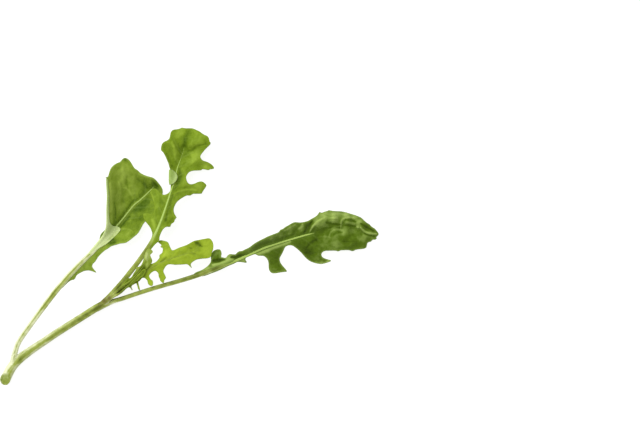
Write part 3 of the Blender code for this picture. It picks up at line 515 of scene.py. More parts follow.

# Each dictionary holds one leaf: its stalk and midrib, its sheets, and how its blade is veined, creased
# and toned. A crease is (width, lift, tint, points), and a tone is (x, y, reach, strength). A crease's tint is
# painted shade along a fold and painted highlight along a ridge. The tone patches, stalk tones and flap tones
# are the leaf's own mottling together with painted shade in recesses and under overlaps, and painted
# highlight where the blade faces the light.
lowerLeaf = {
    "node": "leaf_lower", "slot": "leaf",
    "stalk": [
        (-64.4, -32.1, 3.7, 1), (-59.2, -24.7, 5.1, 1.04), (-51.9, -15, 6.7, 1.12),
        (-47.7, -9.9, 7.1, 1.12), (-44.8, -6.5, 7, 1.08), (-40, -1.5, 6.3, 0.98),
        (-37, 1.3, 5.6, 0.86), (-35, 3.5, 4.9, 0.85), (-32.5, 6.1, 3.9, 0.8), (-30, 8.9, 2.9, 0.58),
        (-27, 12.3, 1.7, 0.35), (-25, 14.7, 1.05, 0.3), (-23, 17.2, 0.6, 0.27),
        (-21, 19.6, 0.42, 0.26), (-19, 21.2, 0.55, 0.25), (-17, 23, 1, 0.23), (-15, 24.9, 1.8, 0.18),
        (-13.3, 26.6, 2.8, 0.04),
    ],
    "stalkTones": [(-65.5, -34, 6, 1), (-58.5, -24, 6, 1), (-52, -15, 5, 0.35), (-46, -8, 5, 0.6),
                   (-40, -1.5, 5, 0.8), (-35, 3.5, 4, 0.8)],
    # The stalk's skin is painted paler or deeper by which way it faces, as side light and shade.
    "paintedSideLight": [((-0.7, 0.6, 0.3), 0.4, 0.65), ((0.15, -0.1, 1), 0.06, -0.8), ((0.75, -0.5, 0.45), 0.2, 0.1)],
    "leafy": "#a6be64", "leafShare": 0.85,
    "groove": 0.30,
    "fold": {
        "line": [
            (-30.7, 29.5, 0.16), (-30.6, 27, 0.2), (-30.3, 23, 0.28), (-30.4, 19, 0.4),
            (-30.4, 15, 0.5), (-30.5, 12, 0.58), (-31.1, 9.6, 0.6), (-32.4, 7.3, 0.58),
            (-34.3, 5, 0.5), (-36.6, 2.5, 0.35), (-38.4, 0.6, 0.12),
        ],
        "flap": [
            (-38.1, 0.1), (-36.2, 1.5), (-33.6, 3.5), (-31.6, 4.6), (-30, 5.9), (-28.4, 7.4),
            (-27, 8.8), (-26.1, 10.1), (-26.4, 10.9), (-27.5, 11.5), (-28.8, 11.6), (-29.6, 12.4),
            (-30, 13.6), (-30.1, 16), (-30.05, 19), (-29.95, 23), (-30.25, 27), (-30.4, 29.2),
        ],
        "inside": (-22, 20),
    },
    "flapTones": [(-30.6, 28, 4, -1.4), (-30.6, 21, 5, -1), (-34.5, 3.5, 3, 0.2)],
    "margin": [
        (-50.5, -13.4), (-48, -11.9), (-46, -9.9), (-44.6, -8.9), (-43.3, -8.5), (-42.5, -7),
        (-41, -6), (-39.7, -5.4), (-38.2, -5.2), (-36.8, -5.5), (-35.1, -6.1), (-36.1, -4.8),
        (-36.7, -3.8), (-36.5, -2.8), (-35.5, -1.8), (-34.5, -0.2), (-33.2, 1.2), (-31.8, 2.4),
        (-30.4, 3.3), (-29.5, 3.95), (-28, 4.4), (-26, 5), (-24.3, 5.2), (-22.9, 5.9), (-21, 7.4),
        (-19.3, 8.9), (-18.3, 10.6), (-17.4, 12.3), (-16.2, 13.7), (-13.9, 14.8), (-12.6, 16.2),
        (-12, 18.8), (-11.2, 21.2), (-10.2, 23.4), (-10.1, 25.2), (-10.7, 26.6), (-11.7, 27.9),
        (-12.6, 29), (-13.6, 29.8), (-15, 30.2), (-16.8, 30.8), (-18.3, 31.6), (-19.3, 32.6),
        (-20.4, 33.3), (-21.1, 34.4), (-21.9, 35.8), (-22.9, 36.9), (-24.1, 37.3), (-25, 36.8),
        (-25.8, 35.8), (-27, 35.3), (-28.2, 34.5), (-29.2, 33.3), (-29.8, 31.7), (-30.2, 30.3),
        (-30.7, 30), (-31.25, 30.15),
    ],
    "heights": [
        (-49, -12.4, 6.6), (-43.3, -8.5, 5.8), (-40, -5.3, 5), (-35.2, -6, 3.4), (-36.5, -3, 4.6),
        (-34, 0.5, 4.2), (-30, 3.8, 4.2), (-26, 5.1, 5.4), (-22, 6.8, 6.2), (-19, 9.2, 5.8),
        (-17.2, 12.8, 4.6), (-14, 16.4, 3.6), (-12, 20, 3.3), (-10.2, 24, 3.4), (-11.5, 27.6, 4.6),
        (-15, 30.2, 6.6), (-20, 33, 8.2), (-24, 37.2, 9.4), (-28.5, 34.2, 10.6), (-30.2, 29, 11),
        (-29.8, 23, 10.2), (-30.2, 17, 9), (-30.6, 12, 7.2), (-26, 25, 4.7), (-27, 30, 7.4),
        (-22, 30, 5.2), (-18, 27, 3), (-20, 14, 1.8), (-24, 9.5, 2.9), (-28, 16, 4.2), (-27.6, 21, 5),
        (-31.6, 9.2, 5.4),
    ],
    "lobes": [{
        "margin": [
            (-35.2, 4.2), (-34.4, 5.2), (-34, 6.4), (-33.8, 7.7), (-33.4, 8.6), (-32.5, 9.6),
            (-31.6, 10.2), (-30.4, 10.2), (-30.4, 8.6), (-32.4, 5.8), (-34, 4.2),
        ],
        "heights": [(-34.6, 4.5, 4.5), (-31, 8.6, 2.9), (-34, 7.4, 2.2), (-31.2, 10.3, 1.4)],
        "tones": [(-32.5, 8, 2.5, -1.2)],
    }],
    "veins": {"every": 5.4, "first": 0.60, "angle": 52, "bend": 26, "length": 13},
    "veinDip": 0.08, "pucker": 0.26, "puckerSize": 3.4, "puckerPaintedShade": 0.45,
    "keel": 0.55, "keelWidth": 1.5, "ruffle": 0.15,
    "creases": [
        (0.9, 0.22, 0.4, [(-24.9, 33.5), (-25, 30), (-24.6, 27)]),
        (0.5, -0.2, -0.45, [(-23.4, 30.5), (-23.6, 28), (-23.1, 25.8)]),
        (1.0, 0.25, 0.35, [(-21, 30), (-21.3, 27), (-20.9, 24)]),
        (0.4, 0.15, 0.45, [(-24.9, 26.1), (-23.4, 25.6), (-22.4, 24.2), (-21.4, 22)]),
        (0.4, 0.12, 0.35, [(-26.5, 28.5), (-26, 25), (-26.4, 21.6)]),
        (0.9, -0.25, -0.6, [(-26.6, 12.9), (-24.3, 15.9), (-22, 18.9), (-20, 20.9)]),
        (0.35, -0.2, -0.8, [(-28.3, 20.5), (-27.9, 17), (-28, 14.6)]),
        (0.8, 0.12, 0.7, [(-29.7, 27.5), (-29.5, 23), (-29.5, 18), (-29.3, 12.8)]),
        (0.35, 0.1, 0.5, [(-14.3, 26.8), (-14.6, 28.4), (-14.5, 29.6)]),
        (0.45, 0.1, 0.7, [(-18.9, 31.4), (-17.2, 30.7), (-14.6, 29.9), (-13.2, 29.4)]),
        (0.8, -0.3, -0.45, [(-19.6, 29.4), (-17.4, 27.9), (-16, 26)]),
        (0.5, -0.2, -0.6, [(-26, 11.3), (-24, 13.6), (-22.6, 15.3)]),
        (0.35, 0.12, 0.5, [(-26.2, 10.3), (-24.6, 10.6), (-22.6, 10.2), (-21.2, 9.2)]),
        (0.5, 0.3, 2.2, [(-36, 1.8), (-32.6, 4.8), (-29.2, 8.8)]),
        (0.4, -0.3, -2.0, [(-33.2, 4.2), (-31, 6.2), (-28.8, 7.9)]),
        (0.4, -0.2, -1.6, [(-32, 7.4), (-30.2, 9.4), (-29.6, 11)]),
    ],
    "tones": [
        (-24, 36.9, 1.3, -1.1), (-28.6, 5.6, 1.5, -1), (-22, 12.6, 3, -0.45), (-18, 13.6, 2, -0.3),
        (-11.4, 27.5, 1.6, -0.8), (-26, 32, 3, 0.3), (-27, 24, 3.5, 0.35), (-26.5, 17.5, 2.5, 0.25),
        (-18.8, 10.6, 1.6, -0.2), (-20.6, 13.8, 1.6, -0.25), (-19.6, 17.8, 2.8, -0.9),
        (-16, 19.4, 2.6, -0.6), (-29.7, 5.8, 1.6, -0.9), (-34, -1.5, 2.4, -0.5), (-41, -7, 3, 0.3),
        (-38.6, -3.6, 1.2, 0.3), (-17, 27.4, 1.4, -0.35), (-26.8, 18.4, 1.2, 0.2),
        (-24.4, 20.6, 1.2, -0.15), (-22.6, 22.6, 1, -0.3),
    ],
    "top": dict(topLook, deep="#3f5806", middle="#758c26", light="#96ab45", vein="#9db45a", rib="#84992f",
                rim="#869d40", panelShare=0.55, lie=100, netShare=0.07),
    "under": dict(undersideLook, deep="#98ad5c", middle="#bccb86", light="#d8e2ae", vein="#cfdca4",
                  rib="#cddb9c", rim="#c3d093", panelShare=0.55, lie=100),
}

upperLeaf = {
    **plainLeaf,
    "node": "leaf_upper", "slot": "leaf",
    "stalk": [
        (-25, -9.3, 4.4, 1), (-22, -5.6, 5.4, 0.97), (-20, -3.1, 6.1, 0.94), (-17.3, 0.6, 7.1, 0.92),
        (-14.9, 4.2, 7.9, 0.82), (-13, 7.8, 8.6, 0.6), (-11.5, 11, 9.2, 0.45), (-10.2, 14.2, 9.6, 0.4),
        (-9.2, 17, 9.7, 0.36), (-8, 20.6, 9.6, 0.32), (-7.1, 23.5, 9.3, 0.3), (-6.4, 25.6, 8.9, 0.26),
        (-5.5, 28.2, 8.2, 0.22), (-5, 30.5, 7.5, 0.19), (-4.5, 33, 6.7, 0.17), (-3.7, 35.4, 5.8, 0.11),
        (-2.8, 38, 4.9, 0.04), (-2, 41, 4.3, 0.03),
    ],
    "stalkTones": [(-24, -8, 6, -0.35), (-16, 2, 5, -0.35), (-12, 10, 4, 0.25), (-24, -6.5, 1.5, 0.2)],
    "paintedSideLight": [((-0.75, 0.5, 0.4), 0.2, 0.1), ((0.2, -0.1, 1), 0.1, -0.2), ((0.75, -0.5, 0.4), 0.15, 0.35)],
    "leafy": "#a4bf60", "leafShare": 0.85,
    "groove": 0.2,
    "fold": {
        "line": [(-6.75, 27.2, 0.4), (-6.85, 28.6, 0.5), (-6.85, 31, 0.5), (-6.9, 32.9, 0.4)],
        "flap": [
            (-6.2, 32.75), (-5.3, 32.1), (-4.6, 31.2), (-4.2, 30.1), (-4.45, 29.2), (-5, 28.4),
            (-5.6, 27.8), (-6.3, 27.35),
        ],
        "inside": (-3, 30),
    },
    "margin": [
        (-7.35, 34.2), (-7.5, 35), (-8, 36.2), (-8.8, 38), (-9.6, 39.4), (-10.4, 40.2), (-10.4, 41.4),
        (-10.1, 42.6), (-9.3, 43.4), (-8.2, 43.9), (-7.4, 44.7), (-7.1, 46), (-6.8, 47.3), (-6, 48),
        (-4.6, 48.2), (-3.5, 48.5), (-2.7, 48.85), (-1.5, 48.6), (0, 48.6), (1.5, 48.5), (2.8, 47.9),
        (4, 47.4), (5, 46.6), (6, 46), (7, 45.6), (7.6, 44.7), (7.8, 43.7), (8.3, 42.9), (7.7, 42.1),
        (6.7, 41.2), (5.7, 40.1), (4.8, 39), (4.3, 38), (4.6, 37.1), (5.3, 36.4), (6.5, 36), (8, 35.3),
        (9, 34.4), (9.4, 33.6), (8.8, 33.2), (8, 33.2), (7.2, 32.8), (6, 33), (5, 33.15), (4.4, 32.7),
        (3, 32.6), (1.5, 32.5), (0.3, 32.1), (-0.5, 31.3), (-1, 30.2), (-0.9, 29), (-0.5, 28.1),
        (0.2, 27.5), (1, 27.4), (2.2, 27.7), (3.4, 28.3), (4.5, 28.5), (5.4, 28.2), (6.5, 27.1),
        (6.1, 26.2), (5.5, 25.3), (5, 24.5), (4.6, 23.9), (3, 23.8), (1.5, 23.8), (0.9, 23.4),
        (0.3, 23.1), (-0.6, 23.2), (-2, 22.6), (-3.5, 21.6), (-4.7, 20.4), (-5.4, 19.1), (-5.7, 17.7),
        (-5.4, 16.2), (-4.6, 14.8), (-5.2, 14.1), (-5.6, 13), (-6.6, 12.3), (-7, 11.3), (-8.4, 11.3),
        (-9.6, 10.4), (-10.4, 9), (-11, 7.4), (-11.1, 6.1), (-12.2, 5.1), (-13.2, 4.1), (-14.8, 2.4),
        (-14.6, 5.6), (-13.7, 8.2), (-14, 9.9), (-14.7, 11.3), (-15.7, 12.6), (-16.6, 13.7),
        (-17.1, 14.9), (-17.3, 16.2), (-16.2, 16.4), (-15.1, 16.4), (-14.2, 16.1), (-13.4, 16.2),
        (-13, 17.4), (-12.95, 18.8), (-13.3, 20.8), (-14, 22.6), (-14.6, 24.2), (-14.1, 25.4),
        (-13, 25.8), (-12, 25.4), (-11, 24.5), (-10, 23.6), (-9, 23.4), (-8, 23.8), (-7.2, 24.5),
        (-6.8, 25.4),
    ],
    "heights": [
        (-17.1, 16, 7.4), (-15, 12, 8), (-14.4, 24.4, 7.2), (-13, 20, 8.2), (-12, 25.3, 7.6),
        (-9.5, 23.5, 8.6), (-13.8, 9, 8.4), (-7.2, 28, 8.8), (-7.4, 31, 8.8), (-7.4, 34, 8.2),
        (-8.6, 37.6, 8.4), (-10.4, 41, 8.8), (-8.8, 43.6, 7.6), (-7, 46.5, 5.6), (-4.5, 48.2, 3.8),
        (-1, 48.7, 3), (3, 47.7, 4.6), (6.5, 45.8, 6.2), (8.2, 42.8, 5.8), (4.4, 38, 5.2),
        (7, 35.8, 3.2), (9.3, 33.6, 1.4), (5, 33, 3.2), (0.5, 32.2, 5.6), (-1, 30, 6.8),
        (2, 27.6, 5.6), (5, 28.3, 3.8), (6.3, 27, 3), (4.8, 24.2, 3.4), (0.3, 23.2, 5.6),
        (-3.5, 21.7, 7.4), (-5.6, 18, 8.7), (-4.7, 14.9, 8.2), (-7, 11.3, 8.8), (-10.4, 9, 9.2),
        (-11.1, 6.6, 8.7), (-6, 44, 6.6), (-4.6, 41, 5.9), (1, 42.6, 6.2), (4.2, 43.2, 6.4),
        (1.5, 39.4, 4.2), (4.2, 40.4, 4.6), (2, 36.6, 5.5), (-1, 36, 5.2),
    ],
    "veins": {"every": 4.0, "first": 0.42, "angle": 50, "bend": 18, "length": 11},
    "veinDip": 0.14, "pucker": 0.24, "puckerSize": 3.0, "puckerPaintedShade": 0.35,
    "keel": 0.35, "keelWidth": 1.2, "ruffle": 0.18,
    "creases": [
        (0.5, -0.25, -0.5, [(-0.5, 39.9), (1.3, 40.3), (3.4, 41.9), (6.4, 42.5)]),
        (1.3, -0.3, -0.35, [(0.2, 48.2), (-0.9, 44.8), (-1.5, 42)]),
        (0.45, -0.15, -0.35, [(-4, 42.8), (-3.8, 40.8), (-3.4, 39.2)]),
        (0.6, 0.2, 0.4, [(-6.5, 43.6), (-5.5, 40.8), (-5.1, 36.5)]),
        (0.9, -0.25, -0.3, [(-8.4, 38.6), (-6.9, 35.8), (-6.3, 33.8)]),
        (0.35, 0.1, 0.7, [(-4.6, 33.3), (-3.9, 35)]),
        (0.35, 0.08, 0.35, [(-2.4, 38.2), (-1.6, 41.4)]),
        (1.2, -0.25, -0.2, [(-0.4, 33.9), (2.3, 34.8), (5.5, 34.8), (8.4, 34)]),
        (0.4, 0.15, 0.5, [(-5.7, 23.6), (-3.9, 24.6), (-1.6, 25.2), (0.6, 25.4), (2.8, 25.1)]),
        (0.5, -0.2, -0.4, [(-4.8, 24.9), (-3.2, 26), (-1, 26.2)]),
        (0.9, -0.25, -1.0, [(-3.6, 33), (-3.4, 29.8), (-4.5, 27.4), (-5.6, 25.6)]),
        (0.8, -0.3, -0.7, [(-6, 23), (-7.1, 20.5), (-7.9, 17), (-8.7, 13.6)]),
        (0.4, 0.12, 0.4, [(-13.9, 23.5), (-13.4, 21.8), (-13.3, 19.8)]),
        (0.7, 0.15, 0.35, [(-13.9, 14), (-12.9, 11), (-13, 8.4)]),
    ],
    "tones": [
        (-0.6, 46.6, 1.7, -0.5), (-1.5, 44, 1.7, -0.8), (3, 44.6, 1.9, 0.15), (2.4, 37.8, 2.4, 0.5),
        (-5.2, 35.6, 1.8, -0.2), (-5, 43.4, 2.2, -0.3), (5, 44.6, 2, -0.3), (-2.6, 47, 1.5, 0.4),
        (3.2, 40.6, 1, 0.1), (-1.6, 28, 1.7, 0.3), (3.6, 27, 1.7, 0.6), (2.4, 24.4, 0.9, -0.3),
        (-9.6, 41.6, 1.3, -0.3), (6, 34.4, 2, 0.8), (-15.5, 14.8, 1.6, 0.2), (-8.6, 14, 1, -0.3),
        (-6.6, 15.6, 1.2, 0.1), (-10, 20.6, 1.3, -0.4), (-12.6, 11.6, 1.4, 0.15), (-9.6, 11, 1, 0.3),
        (-3, 22.4, 1.2, 0.2),
    ],
    "top": dict(topLook, deep="#425a04", middle="#6a8219", light="#94ac3a", vein="#94aa45", rib="#7d9428",
                rim="#7c922a", blotch=2.8, panelShare=0.45, lie=70, netShare=0.1, veinShare=0.28),
    "under": dict(undersideLook, deep="#7a943c", middle="#8ba450", light="#a0b66a", vein="#b0c47c",
                  rib="#b0c47c", rim="#9ab062", panelShare=0.3, lie=70, netShare=0.15, veinShare=0.4),
}

rightLeaf = {
    **plainLeaf,
    "node": "leaf_right", "slot": "leaf",
    "stalk": [
        (-25, -15.8, 3.3, 0.88), (-20, -14.1, 3.6, 0.86), (-15, -12.5, 4, 0.86), (-10, -11, 4.3, 0.86),
        (-5, -9.6, 4.6, 0.87), (0, -8.1, 4.9, 0.9), (5, -6.4, 5.3, 0.92), (10, -4.4, 5.6, 0.86),
        (15, -2.55, 6, 0.66), (20, -0.45, 6.4, 0.52), (25, 1.85, 6.8, 0.47), (30, 3.9, 7.2, 0.42),
        (35, 5.5, 7.4, 0.37), (40, 7, 7.5, 0.34), (45, 8.4, 7.3, 0.3), (47.6, 9, 7, 0.06),
    ],
    "stalkTones": [(-24, -15, 6, -0.2), (-14, -12.2, 4, -0.3), (-6, -9.9, 4, -0.5), (2, -7.4, 4, -0.65),
                   (10, -4.4, 4, -0.8), (16, -1.6, 4, -0.6)],
    "paintedSideLight": [((-0.25, 0.85, 0.4), 0.2, -0.35), ((0.1, 0, 1), 0.08, -0.1), ((0.2, -0.95, 0.1), 0.3, 0.9)],
    "leafy": "#9fb858", "leafShare": 0.9,
    "groove": 0.22,
    "margin": [
        (2, -6.4), (5, -5), (6.2, -4.2), (7.2, -3.4), (8, -2.5), (8.4, -1.4), (8.3, -0.5), (8.4, 0.5),
        (8.7, 1.5), (9.3, 2.2), (10.1, 2.6), (11, 2.8), (11.8, 2.6), (12.2, 1.8), (12.3, 0.8),
        (12.1, -0.1), (12.8, -0.3), (13.8, -0.5), (14.4, 0.1), (15, 0.8), (15.7, 1), (17.6, 0.8),
        (18.2, 1.4), (19, 2), (20.1, 2.1), (21.3, 2.7), (23, 3.5), (24.3, 4.5), (26, 5.6), (28, 6.6),
        (30, 7.6), (32, 8.4), (34, 9.2), (34.7, 10.1), (35.6, 10.4), (36.6, 11.2), (38, 12),
        (39, 12.6), (40.2, 13), (42, 12.9), (43.6, 13.1), (45, 13.5), (46.5, 14.4), (48, 15.2),
        (48.8, 16), (49.4, 16.9), (50.1, 16.5), (51.2, 16.9), (52.3, 17.2), (53, 17.5), (54.5, 17.2),
        (57, 17.1), (59, 16.8), (61, 16.2), (63, 15.6), (65, 14.8), (66, 13.9), (67, 13), (68.3, 12.2),
        (69, 11.4), (70.2, 10.7), (71.2, 9.7), (71.8, 8.8), (71.6, 8), (70.9, 7.5), (71.2, 6.8),
        (70.4, 6.4), (69.4, 6.4), (68.9, 5.7), (67.9, 5.5), (67.4, 5), (67.3, 4.2), (67, 3.4), (66, 3),
        (64, 2.8), (62.8, 2.5), (61.9, 2.1), (60.5, 2.5), (58.5, 2.5), (57.2, 2.4), (56.6, 2),
        (55.5, 2.3), (53, 2.3), (51.5, 2.2), (50.6, 1.8), (50.1, 1), (50.3, 0), (51, -0.6), (52, -1),
        (53.9, -1.5), (53, -2), (51.5, -2.5), (50, -2.8), (48, -2.5), (46, -1.8), (44.8, -1),
        (43.8, 0), (42.7, 1.3), (41.5, 2.5), (40.3, 3.5), (39.3, 4.2), (38.3, 4.4), (37.3, 4.2),
        (36.4, 3.7), (36, 2.8), (35.4, 1.5), (34.8, 0.5), (34.3, -0.6), (34.4, -1.8), (34.9, -2.9),
        (36, -4.2), (37.1, -5.6), (36, -5.8), (34, -6.1), (32.5, -6.4), (31.2, -6.2), (30.4, -5.3),
        (30.1, -4), (30.1, -2.5), (29.8, -1.3), (29.2, -0.4), (28.3, 0.3), (27.2, 0.4), (26, 0.5),
        (25, 1), (23, 0.3), (21.4, -0.5), (21.5, -1.5), (21.9, -2.3), (20.5, -2.1), (18.9, -1.9),
        (17.8, -2.1), (17, -2.6), (15, -3.4), (12, -4.9), (9, -6.1), (5, -7.4),
    ],
    "heights": [
        (6.5, -4, 5.8), (8.3, -1, 6.4), (8.8, 1.6, 5.4), (11, 2.8, 5), (12.2, 1, 5.4),
        (13.8, -0.4, 6.6), (15.6, 1, 8.2), (18.2, 1.4, 8.2), (20, 2.1, 8.6), (24, 4.3, 10.4),
        (28, 6.6, 11.6), (32, 8.4, 12.2), (36, 10.9, 12.6), (40, 13, 11.8), (44, 13.2, 11.4),
        (48, 15.2, 10.6), (50, 16.6, 8.8), (53, 17.4, 7), (57, 17, 6), (61, 16.2, 5.4),
        (65, 14.8, 4.6), (68.3, 12.2, 3.2), (71, 9.7, 1.8), (71, 7, 0.2), (68.9, 5.7, 0.9),
        (67, 3.4, 1.7), (62, 2.2, 3.2), (57, 2.2, 3.6), (52, 2.2, 3.5), (50.1, 1, 2.9),
        (53.8, -1.5, 0.9), (50, -2.8, 0.4), (46, -1.8, 1.1), (43, 1, 3.5), (40.3, 3.5, 5.6),
        (38.3, 4.4, 6.4), (36.2, 3.5, 5.6), (34.4, -0.8, 2.9), (37, -5.6, 0.6), (33, -6.3, 0.05),
        (30.5, -5, 0.9), (30, -2, 2.9), (28.5, 0.2, 5), (25.5, 0.9, 6.3), (21.7, -1.5, 4.6),
        (18, -2, 5.3), (13, -4.2, 5.4), (8, -6, 5.2), (50, 13.6, 11.2), (55, 14.6, 10.2),
        (60, 13.8, 8.2), (54, 11.5, 7.2), (60, 9.8, 6.4), (56, 9.3, 7.1), (56, 6, 6), (62, 6.5, 5.2),
        (47, 6, 6.3), (46, 3, 4.8), (42, 10.5, 9.2), (35, 8, 9.5), (28, 4.8, 8.4), (66, 11.8, 5.4),
        (67, 7, 2.9), (52, 9.8, 6.5), (57, 10.4, 5.6), (62, 10.2, 4.5), (66, 9.5, 3.3),
    ],
    "veins": {"every": 4.2, "first": 0.42, "angle": 58, "bend": 20, "length": 10},
    "veinDip": 0.04, "pucker": 0.38, "puckerSize": 2.6, "puckerPaintedShade": 0.35,
    "keel": 0.4, "keelWidth": 1.1, "ruffle": 0.2,
    "creases": [
        (0.3, 0.45, 1.0, [(45.6, 9.2), (46.9, 11.5), (49.2, 13.6), (51.3, 14.7)]),
        (0.8, -0.5, -0.9, [(43.9, 9.6), (45, 11.3), (46.6, 13.4)]),
        (0.5, -0.4, -0.6, [(51.9, 13), (55.1, 12.3), (57.3, 12.1)]),
        (0.28, 0.35, 0.55, [(57.5, 10.6), (57.5, 12.4), (58, 14), (59.4, 14.7), (61.2, 14.8), (62.8, 14.5)]),
        (0.5, -0.45, -0.7, [(59.2, 13.9), (61, 13.8), (63.2, 13.2)]),
        (0.45, 0.2, 0.3, [(59.2, 12.9), (61, 12.8), (62.6, 12.4)]),
        (0.42, -0.4, -0.6, [(59.2, 11.9), (61.2, 11.7), (63, 11.5)]),
        (0.5, 0.5, 0.9, [(63.7, 11.3), (64.1, 11.2)]),
        (0.36, 0.45, 0.9, [(64.9, 11.1), (66.5, 9.6), (68.4, 8.9), (71.2, 8.6)]),
        (0.5, -0.5, -1.0, [(65, 12.5), (67.4, 11.1), (70, 9.8)]),
        (0.35, -0.35, -0.8, [(66.4, 8.8), (68.6, 8), (71, 7.6)]),
        (0.3, 0.25, 0.5, [(53, 7.6), (53.8, 9.4), (55.6, 10.3), (58.3, 10)]),
        (0.5, -0.3, -0.5, [(54.7, 8.2), (56.1, 9.1), (58, 9.1)]),
        (0.5, -0.2, -0.4, [(48.5, 9.9), (51.5, 10.7), (54.5, 11.3)]),
        (0.7, 0.15, 1.4, [(22, -0.5), (26, 1.1), (30, 2.7), (34, 4.3), (38.4, 5.8)]),
        (0.7, -0.35, -0.5, [(39.6, 8.4), (34, 6.7), (28, 4.7)]),
        (0.6, 0.25, 0.7, [(41.6, 10.6), (42.8, 11.6), (43, 12.4)]),
        (0.4, 0.2, 0.5, [(36, 9.8), (38.4, 11.2), (40.2, 12.2)]),
        (0.4, 0.1, 0.8, [(44.6, -1.4), (47.6, -2.5), (50.4, -2.6), (53, -1.7)]),
        (0.5, 0.1, 0.3, [(31.5, -6), (34.5, -5.9), (36.4, -5.4)]),
        (0.3, -0.15, -0.4, [(51.2, 15.9), (53.4, 15.2), (56, 15.4)]),
        (0.3, -0.15, -0.4, [(53.2, 14.2), (55.8, 14.1)]),
        (0.3, 0.15, 0.3, [(54, 16.2), (56.8, 16.2), (59.6, 15.6)]),
        (0.6, -0.3, -0.5, [(48.6, 6.6), (46.4, 5.4), (44.6, 3.6)]),
        (0.35, 0.12, 0.3, [(48.6, 7.4), (51, 7.6), (53.4, 7.4)]),
        (0.3, -0.12, -0.4, [(58, 5.8), (60.4, 5.6), (62.6, 5.8)]),
        (0.75, -0.4, -1.6, [(8.6, -1.6), (10.9, -1.4), (13.4, -1)]),
        (0.6, -0.4, -2.2, [(16, -0.1), (18.6, 0.2), (21, 0.7)]),
        (0.5, 0.2, 1.0, [(8.9, -3.1), (11.4, -2.8), (14.4, -1.8), (16.8, -1)]),
    ],
    "tones": [
        (51, 15.6, 1.8, 0.8), (55, 15.4, 2.2, 0.75), (59.5, 16, 1.3, 0.8), (62.6, 15.2, 1.1, 0.6),
        (48.4, 13, 1.2, 0.7), (43.6, 9, 1.2, -0.5), (44.6, 2, 2, -0.4), (40, 4.6, 1.6, -0.2),
        (64.5, 13.2, 1, 0.5), (50.6, 12, 1.4, 0.3), (54.4, 13.2, 1, 0.2), (55.6, 4, 2.6, 0.25),
        (59, 6.2, 2.4, -0.5), (63.6, 5.4, 1.8, -0.3), (66.4, 6.6, 1.6, 0.1), (43, 4.6, 2.4, -0.55),
        (47.4, 6.4, 1.8, -0.7), (46, 1.4, 2.2, -0.4), (46.5, -1, 1.4, -0.1), (68.8, 8, 1.2, 0.5),
        (31.6, 6.4, 1.4, 0.45), (50.5, -2.2, 1, 0.4), (53, -1.6, 0.9, 0.8), (32.5, 1, 2.4, -0.35),
        (32.6, -5, 1.4, -0.1), (33.4, -2.6, 1.6, -0.35), (30, 6.2, 2.2, -0.05), (26, 3.9, 2.2, -0.15),
        (34.4, 8, 1.2, 0.2), (39.6, 9.6, 1, -0.4), (62, 4, 2, -0.15), (58.5, 8.2, 1, 0.2),
        (36.4, 4.4, 1.2, 0.3), (15, -0.3, 1.5, 1.1), (20.3, -1.6, 1.2, 1.5), (10, 1.6, 1.2, 0.4),
        (23, 1.8, 0.9, 0.3), (6, -5, 1.8, 1), (10.4, -4.6, 1.6, 0.9), (14, -3.4, 1.6, 0.9),
        (8, -6.4, 1.6, 1),
    ],
    "top": dict(topLook, deep="#324404", middle="#4f6711", light="#93a855", vein="#7d9444", rib="#5f7a24",
                rim="#7d9440", blotch=3.6, panelShare=0.3, lie=35, netShare=0.06, rough=0.45),
    "under": dict(undersideLook, deep="#7f9a4c", middle="#97b062", light="#b4c888", vein="#bccf92",
                  rib="#bccf92", rim="#a9bf78", panelShare=0.3, lie=35),
}

